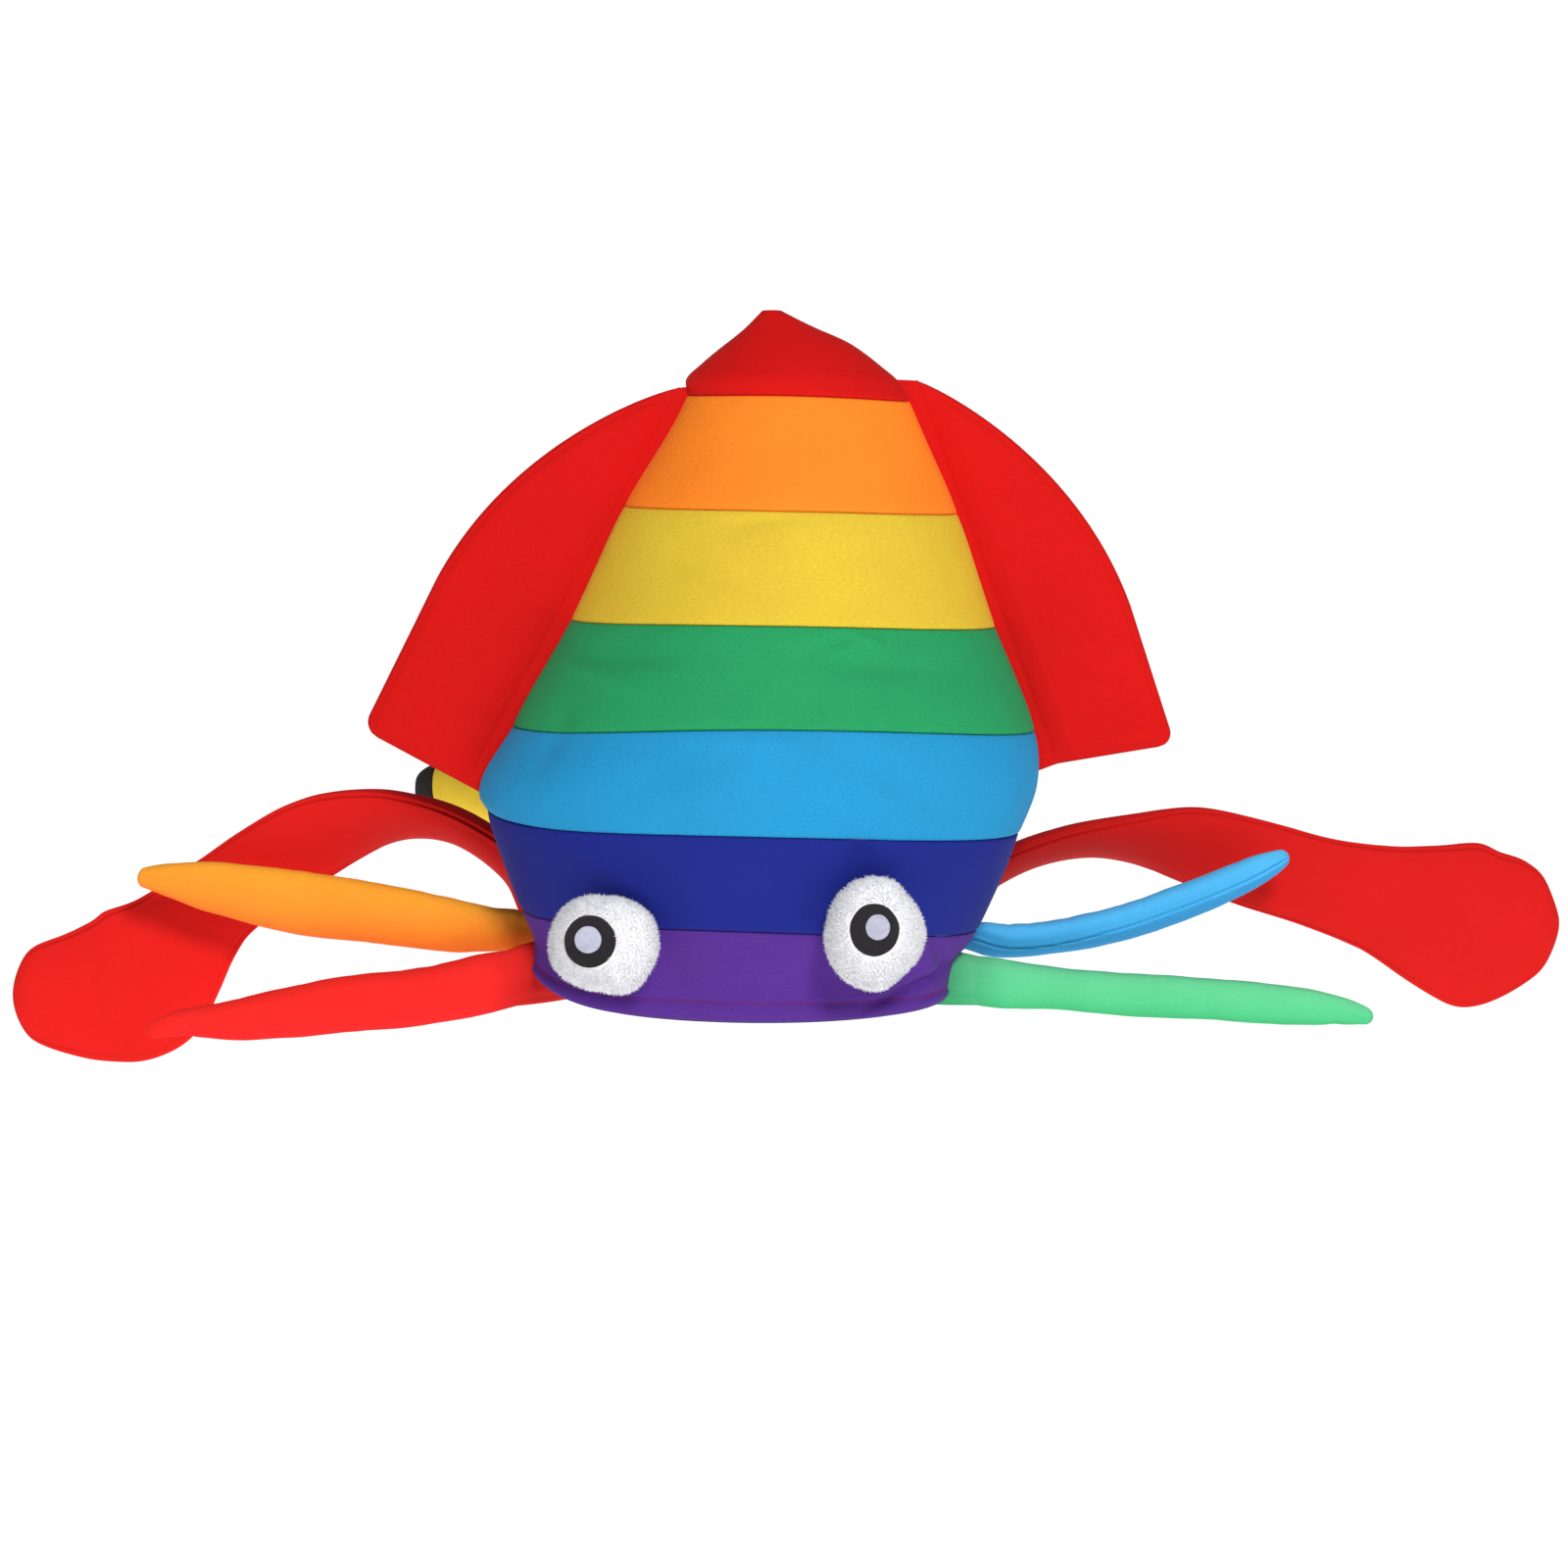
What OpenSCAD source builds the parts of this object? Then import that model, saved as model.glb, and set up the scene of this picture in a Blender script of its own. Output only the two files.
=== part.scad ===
// Rainbow squid hat: a tall sewn mantle of striped foam-backed fabric with two side fins,
// two plush eyes, six short stuffed arms and two long tentacles that end in flat clubs.
// The origin is the centre of the head opening, +Z runs up to the peak and -Y is the face.

/* [Mantle] */
// Height from the rim to the peak
mantle_h = 361; // [345:1:375]
// Width of the head opening, outside
rim_w = 220; // [212:1:222]
// Depth of the head opening, outside
rim_d = 160; // [154:1:166]
// Width at the widest part
waist_w = 294; // [288:1:296]
// Depth at the widest part
waist_d = 210; // [204:1:214]
// Thickness of the foam-backed fabric
wall = 3; // [2:0.5:4]
// Clearance left at each sewn seam
seam_gap = 0.3; // [0.2:0.1:0.6]

/* [Hem] */
// Height of the turned-up hem
hem_h = 7.6; // [7:0.2:14]
// Thickness of the hem's inner fold
facing_t = 2; // [1.5:0.5:2.5]
// Width of the elastic inside the hem
elastic_w = 5; // [4:1:7]
// Thickness of the elastic
elastic_t = 1; // [0.8:0.1:1.2]
// Diameter of the topstitching thread
thread_d = 0.9; // [0.6:0.1:1.2]
// Number of topstitches around the rim
stitch_count = 96; // [60:2:120]

/* [Fins] */
// Width of a fin at its widest, from its hinge line to its outer edge
fin_w = 65; // [60:1:70]
// Length of the rounded top stretch of a fin
fin_arc = 150; // [130:1:160]
// Width of a fin at its lower edge
fin_low_w = 62; // [56:1:66]
// Thickness of a fin
fin_t = 7; // [6:0.5:8]
// Thickness of a fin's fabric
fin_skin = 1.6; // [1.2:0.1:2]
// Radius of a fin's lower outer corner
fin_corner = 9; // [5:1:15]

/* [Arms and tentacles] */
// Thickness of the fabric sleeves
sleeve = 1.5; // [1:0.1:1.8]
// Clearance between a sleeve and its stuffing
stuffing_gap = 0.4; // [0.2:0.1:0.5]
// Radius of the rounded root on which a limb swings
nose_r = 12; // [11:0.5:12]
// Length of the charcoal cap on the tip of the yellow arm
tip_cap_l = 22; // [18:1:28]

/* [Eyes] */
// Diameter of a plush eyeball
eye_d = 57; // [52:1:60]
// Depth of a plush eyeball
eye_depth = 36; // [30:1:38]
// Outer diameter of the black iris ring
iris_d = 26.5; // [24:0.5:28]
// Diameter of the grey pupil
pupil_d = 15; // [13:0.5:17]

/* [Hidden] */

// Levels up the mantle: height, half width and half depth as shares of the mantle's own,
// then sideways lean in mm, roll in degrees, how sharp the side seams are, and in mm how
// far the middle of a panel and the left-hand seam stand above their level
levels = [
    [0.000, rim_w / waist_w, rim_d / waist_d, 0, 1.2, 0.85, -2, 9],
    [0.045, 0.752, 0.790, 2, 1.6, 0.95, 4, 6],
    [0.107, 0.823, 0.870, 5, 2.0, 1.05, 9, 3],
    [0.248, 0.959, 0.980, 7, 1.4, 1.10, 9, 6],
    [0.305, 1.000, 1.000, 10, -0.3, 1.13, 11, 2],
    [0.389, 0.939, 0.955, 18, 0.2, 1.25, 12.5, 2],
    [0.546, 0.761, 0.800, 23, 1.0, 1.35, 7, 0],
    [0.712, 0.596, 0.600, 27, 1.3, 1.40, 4, 0],
    [0.874, 0.398, 0.370, 31, 1.5, 1.40, 3, 0],
    [0.898, 0.380, 0.345, 28, 1.0, 1.40, 2, 0],
    [0.919, 0.326, 0.295, 27.5, 1.0, 1.40, 2, 0],
    [0.951, 0.226, 0.200, 26, 0.5, 1.35, 1, 0],
    [0.975, 0.126, 0.116, 21.5, 0.0, 1.30, 0, 0],
    [1.000, 0.034, 0.036, 17, 0.0, 1.20, 0, 0]];

// Sewn seams between the bands, as shares of the mantle's height, from the rim up
seams = [0, 0.107, 0.248, 0.389, 0.546, 0.712, 0.874, 1];
bands = [
    ["purple_band", "#5a3296"], ["indigo_band", "#222f8e"], ["sky_band", "#2a97d4"],
    ["green_band", "#2fa061"], ["yellow_band", "#e6c838"], ["orange_band", "#f5892a"],
    ["red_peak", "#d41a15"]];
// Sides of the mantle that the two panels are on
face = -1;
rear = 1;

// Limb routes from the rim outwards: x, y, z, width, thickness and twist in degrees
red_arm = ["red_arm", "#ee2a22", [
    [-113, -6, 10, 28, 14, 0], [-136, -11, 6, 32, 18, 0], [-165, -18, 1, 31, 20, 0],
    [-205, -26, -2, 30, 20, 0], [-235, -33, -5, 27, 18, 0], [-266, -39, -8, 21, 15, 0],
    [-292, -43, -9, 14, 11, 0], [-310, -46, -13, 8, 6, 0]], 3];
orange_arm = ["orange_arm", "#fb9330", [
    [-112, 20, 28.5, 25, 14, 0], [-134, 18, 30, 24, 16, 0], [-160, 15, 33.5, 30, 20, 0],
    [-197, 13, 40, 33, 21, 0], [-238, 11, 46, 34, 21, 0], [-279, 9, 54, 28, 17, 0],
    [-303, 8, 58, 19, 12, 0], [-322, 8, 60, 9, 6, 0]], 3];
yellow_arm = ["yellow_arm", "#ffe040", [
    [-56.5, 79.5, 24, 24, 14, 0], [-69, 98, 41, 28, 17, 0], [-90, 116, 60, 32, 20, 0],
    [-119, 142, 74, 34, 20, 0], [-148, 170, 82, 34, 20, 0], [-168, 190, 82, 32, 19, 0],
    [-181, 204, 79, 26, 16, 0], [-187, 213, 76, 16, 11, 0]], 6];
green_arm = ["green_arm", "#3cc274", [
    [117, -6, 7, 26, 14, 0], [134, -9, 6, 27, 17, 0], [150, -12, 5, 25, 18, 0],
    [172, -16, 4, 22, 17, 0], [208, -22, 2, 23, 17, 0], [250, -30, 1, 22, 16, 0],
    [290, -37, -1, 20, 14, 0], [315, -41, -3, 14, 10, 0], [332, -45, -6, 7, 6, 0]], 3];
blue_arm = ["blue_arm", "#4fb0e8", [
    [122.5, 21, 27, 24, 14, 40], [141, 18, 24, 25, 16, 55], [168, 17, 26, 28, 17, 65],
    [201, 15, 33, 30, 18, 65], [235, 13, 45, 30, 18, 65], [265, 11, 58, 25, 17, 65],
    [281, 10, 66, 18, 14, 65], [293, 10, 72, 8, 7, 65]], 3];
purple_arm = ["purple_arm", "#6a3cae", [
    [60, 81.5, 23, 24, 14, 0], [62, 102, 34, 28, 18, 0], [68, 135, 42, 31, 20, 0],
    [75, 172, 43, 31, 20, 0], [82, 210, 37, 29, 19, 0], [88, 245, 26, 22, 15, 0],
    [92, 265, 18, 15, 11, 0], [94, 278, 12, 8, 6, 0]], 3];
left_tentacle = ["left_tentacle", "#e0211d", [
    [-100, 48, 27, 24, 14, 0], [-110, 53, 37, 24, 15, 20], [-122, 57, 58, 28, 16, 50],
    [-150, 58, 78, 31, 16, 57], [-177, 55, 86, 39, 16, 52], [-205, 52, 84, 47, 16, 38],
    [-238, 47, 72, 49, 15, 15], [-277, 46, 46, 48, 15, 0], [-293, 45, 32, 54, 15, 0],
    [-307, 43, 16, 68, 15, 0], [-322, 42, 1, 84, 15, 0], [-337, 41, -7.5, 83, 15, 0],
    [-352, 41, -10, 76, 15, 0], [-366, 40, -10.5, 67, 15, 0], [-382, 39, -10, 55, 14, 0],
        [-396, 38, -10, 38, 12, 0]], 12];
right_tentacle = ["right_tentacle", "#e0211d", [
    [112.5, 52, 25, 24, 14, 0], [119, 57, 33, 22, 15, 20], [127, 59, 48, 23, 15, 50],
    [152, 58, 63, 37, 15, 66], [182, 56, 72, 42, 15, 64], [212, 54, 74, 45, 16, 52],
    [244, 52, 71, 48, 16, 25], [279, 50, 61, 49, 15, 5], [313, 48, 51, 50, 15, 0],
    [345, 47, 42.5, 59, 15, 0], [372, 46, 34.5, 77, 15, 0], [394, 45, 28, 91, 16, 0],
    [409, 44, 26, 84, 16, 0], [423, 44, 28, 72, 15, 0], [435, 44, 29, 54, 14, 0],
    [445, 44, 29, 32, 12, 0]], 12];

// Hinge lines of the fins in the XZ plane: top, bottom, then the fin's length along its
// outer edge, the side it is on, and how much shorter it is along its hinge line
left_fin = ["left_fin", [-31, 321], [-145, 112], 239, -1, 0];
right_fin = ["right_fin", [92.6, 324.7], [165, 131], 228, 1, 12];
// How soon the rounded stretch of a fin widens: 1 is a quarter of an ellipse
fin_bulge = 1.8;
fin_colour = "#d31b18";

// Eyes: angle round the mantle from its right-hand seam, height, turn to the right and
// upward tilt in degrees, how far the middle of the ball stands out in mm, then the iris's
// place on the ball and the pupil's place on the iris, in mm
left_eye = [122, 35.2, -16, 12, 22, [-2.4, -0.5], [-0.4, 0.9]];
right_eye = [63, 44.3, -3, 12, 24, [0, 1.3], [2, 1.3]];
plush_t = 3;
iris_t = 1.5;
pupil_t = 1.2;

panel_steps = 18;
ring_sides = 16;
limb_steps = 16;
tentacle_steps = 30;
// How far from the rim a sleeve's open mouth and its stuffing begin
mouth_mm = 2.5;
core_mm = 4;
foam_colour = "#f2efe6";
stuffing_colour = "#f4f4f0";

// ---------- Mantle surface ----------

// One column of the level table at height z
function level(z, column) =
    lookup(z / mantle_h, [for (row = levels) [row[0], row[column]]]);

// A point of the mantle: height z, angle a from the right-hand seam (0) to the left-hand
// seam (180), side -1 for the face and 1 for the back, and inset under the outer surface
function mantle_point(z, a, side, inset) =
    let (half_w = level(z, 1) * waist_w / 2,
        half_d = level(z, 2) * waist_d / 2,
        in_w = min(inset, 0.6 * half_w),
        in_d = min(inset, 0.6 * half_d),
        x = (half_w - in_w) * cos(a),
        y = max(seam_gap / 2, (half_d - in_d) * pow(sin(a), level(z, 5))),
        lift = level(z, 6) * pow(sin(a), 2) + level(z, 7) * pow(max(0, -cos(a)), 6))
    [level(z, 3) + x, side * y, z - x * tan(level(z, 4)) + lift];

// Faces of a closed tube made of an outer and an inner grid of rows x columns points
function grid_faces(rows, columns, start, flip) = [
    for (r = [0 : rows - 2], c = [0 : columns - 2])
        let (a = start + r * columns + c, b = a + 1, d = a + columns, e = d + 1)
        each flip ? [[a, d, b], [b, d, e]] : [[a, b, d], [b, e, d]]];

// A shell between an outer and an inner grid, closed along all four of its edges
module shell(outer, inner, flip) {
    rows = len(outer);
    columns = len(outer[0]);
    count = rows * columns;
    edge_loop = concat(
        [for (c = [0 : columns - 1]) c],
        [for (r = [1 : rows - 1]) r * columns + columns - 1],
        [for (c = [columns - 2 : -1 : 0]) (rows - 1) * columns + c],
        [for (r = [rows - 2 : -1 : 1]) r * columns]);
    edges = len(edge_loop);
    rim_faces = [for (i = [0 : edges - 1])
        let (a = edge_loop[i], b = edge_loop[(i + 1) % edges])
        each flip ? [[a, b, a + count], [b, b + count, a + count]]
            : [[a, a + count, b], [b, a + count, b + count]]];
    polyhedron(
        concat([for (row = outer) each row], [for (row = inner) each row]),
        concat(grid_faces(rows, columns, 0, flip),
            grid_faces(rows, columns, count, !flip),
            rim_faces));
}

// Heights of the rows between two seams
function row_heights(z0, z1, steps) =
    [for (i = [0 : steps]) z0 + (z1 - z0) * i / steps];

// One band of one panel, from seam index i to the next
module band(i, side) {
    z0 = seams[i] * mantle_h + (i == 0 ? 0 : seam_gap / 2);
    z1 = seams[i + 1] * mantle_h - seam_gap / 2;
    heights = i == len(bands) - 1
        ? [for (row = levels) if (row[0] * mantle_h > z0 && row[0] < 1) row[0] * mantle_h]
        : row_heights(z0, z1, 3);
    zs = i == len(bands) - 1 ? concat([z0], heights, [z1]) : heights;
    angles = [for (k = [0 : panel_steps]) 180 * k / panel_steps];
    color(bands[i][1])
        shell([for (z = zs) [for (a = angles) mantle_point(z, a, side, 0)]],
            [for (z = zs) [for (a = angles) mantle_point(z, a, side, wall)]],
            side > 0);
}

// ---------- Hem ----------

// A closed loop of points right round the mantle at height z
function loop_points(z, inset) = [
    for (side = [-1, 1], k = [0 : 23])
        let (a = side < 0 ? 180 * k / 24 : 180 - 180 * k / 24)
        mantle_point(z, a, side, inset)];

// A ring inside the mantle between two insets and two heights
module ring(z0, z1, outer_inset, inner_inset) {
    loops = [loop_points(z0, outer_inset), loop_points(z1, outer_inset),
        loop_points(z1, inner_inset), loop_points(z0, inner_inset)];
    n = len(loops[0]);
    polyhedron([for (l = loops) each l],
        [for (q = [0 : 3], k = [0 : n - 1])
            let (a = q * n + k, b = q * n + (k + 1) % n,
                d = ((q + 1) % 4) * n + k, e = ((q + 1) % 4) * n + (k + 1) % n)
            each [[a, b, d], [b, e, d]]]);
}

module hem_facing() {
    color(bands[0][1])
        ring(0, hem_h, wall + elastic_t + 1.2, wall + elastic_t + 1.2 + facing_t);
}

module hem_elastic() {
    color("white")
        ring(2, 2 + elastic_w, wall + 0.8, wall + 0.8 + elastic_t);
}

// Topstitches: short threads that lie on the outer face, a hem's height above the rim
module hem_stitching() {
    color("#8c2f6e")
        for (k = [0 : stitch_count - 1]) {
            turn = 360 * (k + 0.5) / stitch_count;
            side = turn < 180 ? -1 : 1;
            a = turn < 180 ? turn : 360 - turn;
            here = mantle_point(hem_h, a, side, -thread_d / 2 - 0.4);
            next = mantle_point(hem_h, a + 1, side, -thread_d / 2 - 0.4);
            heading = atan2(next[1] - here[1], next[0] - here[0]);
            translate(here)
                rotate([0, 90, heading])
                    cylinder(h = 4.2, d = thread_d, center = true, $fn = 16);
        }
}

// ---------- Fins ----------

// Outline of a fin in its own plane: s down the hinge line, w outwards, drawn in by inset
function fin_outline(fin, inset) =
    let (low = fin[3] - inset,
        r = fin_corner,
        low_w = fin_low_w - inset)
    concat(
        [for (k = [0 : 12])
            let (a = 180 - 90 * k / 12)
            [fin_arc + (fin_arc - inset) * cos(a), (fin_w - inset) * pow(sin(a), fin_bulge)]],
        [for (k = [0 : 5])
            let (a = 86 - 86 * k / 5)
            [low - r + r * cos(a), low_w - r + r * sin(a)]],
        [[low - fin[5], 0]]);

// Puts a fin's plane (s, w, thickness) on its hinge line
module on_hinge_line(fin) {
    down = fin[2] - fin[1];
    translate([fin[1][0], 0, fin[1][1]])
        rotate([0, atan2(-down[1], down[0]), 0])
            mirror([0, 0, fin[4] < 0 ? 1 : 0])
                rotate([90, 0, 0])
                    children();
}

function hinge_length(fin) = norm(fin[2] - fin[1]);

module fin_plate(fin, inset) {
    translate([0, 0, inset - fin_t / 2])
        linear_extrude(fin_t - 2 * inset)
            polygon(fin_outline(fin, inset));
}

module fin_cover(fin) {
    color(fin_colour)
        on_hinge_line(fin)
            difference() {
                union() {
                    fin_plate(fin, 0);
                    rotate([0, 90, 0])
                        cylinder(h = hinge_length(fin), d = fin_t, $fn = 48);
                }
                fin_plate(fin, fin_skin);
            }
}

module fin_foam(fin) {
    color(foam_colour)
        on_hinge_line(fin)
            intersection() {
                fin_plate(fin, fin_skin + 0.2);
                translate([0, 0.2, -fin_t])
                    cube([fin[3], fin_w, 2 * fin_t]);
            }
}

// ---------- Limbs ----------

// Catmull-Rom value between rows b and c of a route, at share t
function blend_rows(a, b, c, d, t) =
    0.5 * ((2 * b) + (c - a) * t + (2 * a - 5 * b + 4 * c - d) * t * t
        + (3 * b - a - 3 * c + d) * t * t * t);

// The route's row at u, from 0 at the rim to 1 at the tip
function along(route, u) =
    let (n = len(route) - 1,
        i = min(n - 1, floor(u * n)),
        before = i > 0 ? route[i - 1] : 2 * route[0] - route[1],
        after = i < n - 1 ? route[i + 2] : 2 * route[n] - route[n - 1])
    blend_rows(before, route[i], route[i + 1], after, u * n - i);

function place(row) = [row[0], row[1], row[2]];

function unit(v) = v / norm(v);

// Length of a route up to u
function run(route, u) =
    let (steps = 24)
    u <= 0 ? 0 : sumup([for (k = [1 : steps])
        norm(place(along(route, u * k / steps)) - place(along(route, u * (k - 1) / steps)))]);

function sumup(v, i = 0) = i >= len(v) ? 0 : v[i] + sumup(v, i + 1);

// Share of the full size at distance s from an end that is rounded over length r
function round_end(s, r) =
    let (t = min(1, max(0, s / r)))
    sqrt(t * (2 - t));

// Horizontal direction across the limb: its flat side faces this way where it isn't twisted
function across(route) =
    let (n = len(route) - 1,
        go = place(route[n]) - place(route[0]))
    unit([-go[1], go[0], 0]);

// One ring of points across the limb at u, drawn in by inset
function limb_ring(route, u, tip_r, inset, total) =
    let (row = along(route, u),
        ahead = place(along(route, min(1, u + 0.01))),
        behind = place(along(route, max(0, u - 0.01))),
        forward = unit(ahead - behind),
        flat = across(route),
        normal = unit(flat - forward * (flat * forward)),
        wide = cross(normal, forward),
        s = run(route, u),
        size = min(round_end(s - inset, nose_r), round_end(total - s - inset, tip_r)),
        half_w = max(0.4, (row[3] / 2 - inset) * size),
        half_t = max(0.4, (row[4] / 2 - inset) * size),
        twist = row[5] * (go_side(route)))
    [for (k = [0 : ring_sides - 1])
        let (a = 360 * k / ring_sides,
            p = half_w * cos(a),
            q = half_t * sin(a))
        place(row) + wide * (p * cos(twist) - q * sin(twist))
            + normal * (p * sin(twist) + q * cos(twist))];

// Twist is counted so that a limb's lower edge comes forward on both sides of the hat
function go_side(route) = sign(route[len(route) - 1][0] - route[0][0]);

// Places of the rings, closer together near both ends
function ring_shares(first, last, steps) =
    [for (i = [0 : steps]) first + (last - first) * (1 - cos(180 * i / steps)) / 2];

function limb_rings(limb, inset, first, last) =
    let (route = limb[2],
        total = run(route, 1),
        steps = limb[3] > 10 ? tentacle_steps : limb_steps)
    [for (u = ring_shares(first, last, steps)) limb_ring(route, u, limb[3], inset, total)];

// Share of a route's length that d millimetres take
function share(limb, d) = d / run(limb[2], 1);

function tube_faces(count, start, flip) = [
    for (r = [0 : count - 2], k = [0 : ring_sides - 1])
        let (a = start + r * ring_sides + k,
            b = start + r * ring_sides + (k + 1) % ring_sides,
            d = a + ring_sides, e = b + ring_sides)
        each flip ? [[a, d, b], [b, d, e]] : [[a, b, d], [b, e, d]]];

function cap_face(start, flip) =
    flip ? [[for (k = [ring_sides - 1 : -1 : 0]) start + k]]
        : [[for (k = [0 : ring_sides - 1]) start + k]];

// A sleeve: open at the rim end, closed at the tip, with the fabric's thickness
// The last last_mm of the limb are left to a cap
module limb_sleeve(limb, last_mm = 0) {
    first = share(limb, mouth_mm);
    last = 1 - share(limb, last_mm);
    outer = limb_rings(limb, 0, first, last - share(limb, 0.2));
    inner = limb_rings(limb, sleeve, first, last - share(limb, sleeve + 0.5));
    n = len(outer);
    count = n * ring_sides;
    mouth = [for (k = [0 : ring_sides - 1])
        let (a = k, b = (k + 1) % ring_sides)
        each [[a, b, count + a], [b, count + b, count + a]]];
    color(limb[1])
        polyhedron(concat([for (r = outer) each r], [for (r = inner) each r]),
            concat(tube_faces(n, 0, true), tube_faces(n, count, false), mouth,
                cap_face(count - ring_sides, true),
                cap_face(2 * count - ring_sides, false)));
}

// The stuffing: a closed solid that fills the sleeve
module limb_stuffing(limb, last_mm = 0) {
    inset = sleeve + stuffing_gap;
    rings = limb_rings(limb, inset, share(limb, core_mm), 1 - share(limb, last_mm + 3));
    n = len(rings);
    color(stuffing_colour)
        polyhedron([for (r = rings) each r],
            concat(tube_faces(n, 0, true), cap_face(0, false),
                cap_face((n - 1) * ring_sides, true)));
}

// The charcoal felt cap that closes the tip of the yellow arm
module tip_cap(limb) {
    rings = limb_rings(limb, 0, 1 - share(limb, tip_cap_l), 1 - share(limb, 0.2));
    n = len(rings);
    color("#2d2e2c")
        polyhedron([for (r = rings) each r],
            concat(tube_faces(n, 0, true), cap_face(0, false),
                cap_face((n - 1) * ring_sides, true)));
}

// ---------- Eyes ----------

// Puts an eye on the face, looking along its own +Z
module on_face(eye) {
    foot = mantle_point(eye[1], eye[0], face, 0);
    step = mantle_point(eye[1], eye[0] + 1, face, 0) - mantle_point(eye[1], eye[0] - 1, face, 0);
    outward = unit([-step[1], step[0], 0]);
    translate(foot + outward * eye[4])
        rotate([90 - eye[3], 0, eye[2]])
            children();
}

// Half of a squashed ball's outline with a flat front of radius flat_r
function ball_outline(r, half, flat_r) =
    let (top = acos(flat_r / r))
    concat([[0, -half]],
        [for (k = [1 : 20])
            let (a = -90 + (90 + top) * k / 20)
            [r * cos(a), half * sin(a)]],
        [[0, half * sin(top)]]);

front_flat = iris_d / 2 + 0.5;
front_z = eye_depth / 2 * sin(acos(front_flat / (eye_d / 2)));

module eye_plush(eye) {
    color("white")
        on_face(eye)
            difference() {
                rotate_extrude($fn = 64)
                    polygon(ball_outline(eye_d / 2, eye_depth / 2, front_flat));
                rotate_extrude($fn = 64)
                    polygon(ball_outline(eye_d / 2 - plush_t, eye_depth / 2 - plush_t,
                        front_flat - plush_t));
            }
}

module eye_stuffing(eye) {
    core = plush_t + 0.2;
    color(stuffing_colour)
        on_face(eye)
            rotate_extrude($fn = 64)
                polygon(ball_outline(eye_d / 2 - core, eye_depth / 2 - core,
                    front_flat - core));
}

module eye_iris(eye) {
    color("#242424")
        on_face(eye)
            translate([eye[5][0], eye[5][1], front_z + 0.05])
                difference() {
                    cylinder(h = iris_t, d = iris_d, $fn = 64);
                    translate([eye[6][0], eye[6][1], -1])
                        cylinder(h = iris_t + 2, d = pupil_d + 0.1, $fn = 64);
                }
}

module eye_pupil(eye) {
    color("#b3b5c4")
        on_face(eye)
            translate([eye[5][0] + eye[6][0], eye[5][1] + eye[6][1], front_z + 0.05])
                cylinder(h = pupil_t, d = pupil_d, $fn = 64);
}

// ---------- Nodes ----------

band(0, face);  // purple_band_front
band(1, face);  // indigo_band_front
band(2, face);  // sky_band_front
band(3, face);  // green_band_front
band(4, face);  // yellow_band_front
band(5, face);  // orange_band_front
band(6, face);  // red_peak_front
band(0, rear);  // purple_band_back
band(1, rear);  // indigo_band_back
band(2, rear);  // sky_band_back
band(3, rear);  // green_band_back
band(4, rear);  // yellow_band_back
band(5, rear);  // orange_band_back
band(6, rear);  // red_peak_back
hem_facing();
hem_elastic();
hem_stitching();
fin_cover(left_fin);  // left_fin_cover
fin_foam(left_fin);  // left_fin_foam
fin_cover(right_fin);  // right_fin_cover
fin_foam(right_fin);  // right_fin_foam
limb_sleeve(red_arm);  // red_arm_sleeve
limb_stuffing(red_arm);  // red_arm_stuffing
limb_sleeve(orange_arm);  // orange_arm_sleeve
limb_stuffing(orange_arm);  // orange_arm_stuffing
limb_sleeve(yellow_arm, tip_cap_l);  // yellow_arm_sleeve
limb_stuffing(yellow_arm, tip_cap_l);  // yellow_arm_stuffing
tip_cap(yellow_arm);  // yellow_arm_tip_cap
limb_sleeve(green_arm);  // green_arm_sleeve
limb_stuffing(green_arm);  // green_arm_stuffing
limb_sleeve(blue_arm);  // blue_arm_sleeve
limb_stuffing(blue_arm);  // blue_arm_stuffing
limb_sleeve(purple_arm);  // purple_arm_sleeve
limb_stuffing(purple_arm);  // purple_arm_stuffing
limb_sleeve(left_tentacle);  // left_tentacle_sleeve
limb_stuffing(left_tentacle);  // left_tentacle_stuffing
limb_sleeve(right_tentacle);  // right_tentacle_sleeve
limb_stuffing(right_tentacle);  // right_tentacle_stuffing
eye_plush(left_eye);  // left_eye_plush
eye_stuffing(left_eye);  // left_eye_stuffing
eye_iris(left_eye);  // left_eye_iris
eye_pupil(left_eye);  // left_eye_pupil
eye_plush(right_eye);  // right_eye_plush
eye_stuffing(right_eye);  // right_eye_stuffing
eye_iris(right_eye);  // right_eye_iris
eye_pupil(right_eye);  // right_eye_pupil
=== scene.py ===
"""Looks of the rainbow squid hat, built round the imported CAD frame."""
import math
import bmesh
import bpy
import numpy as np
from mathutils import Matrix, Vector, noise


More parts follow.
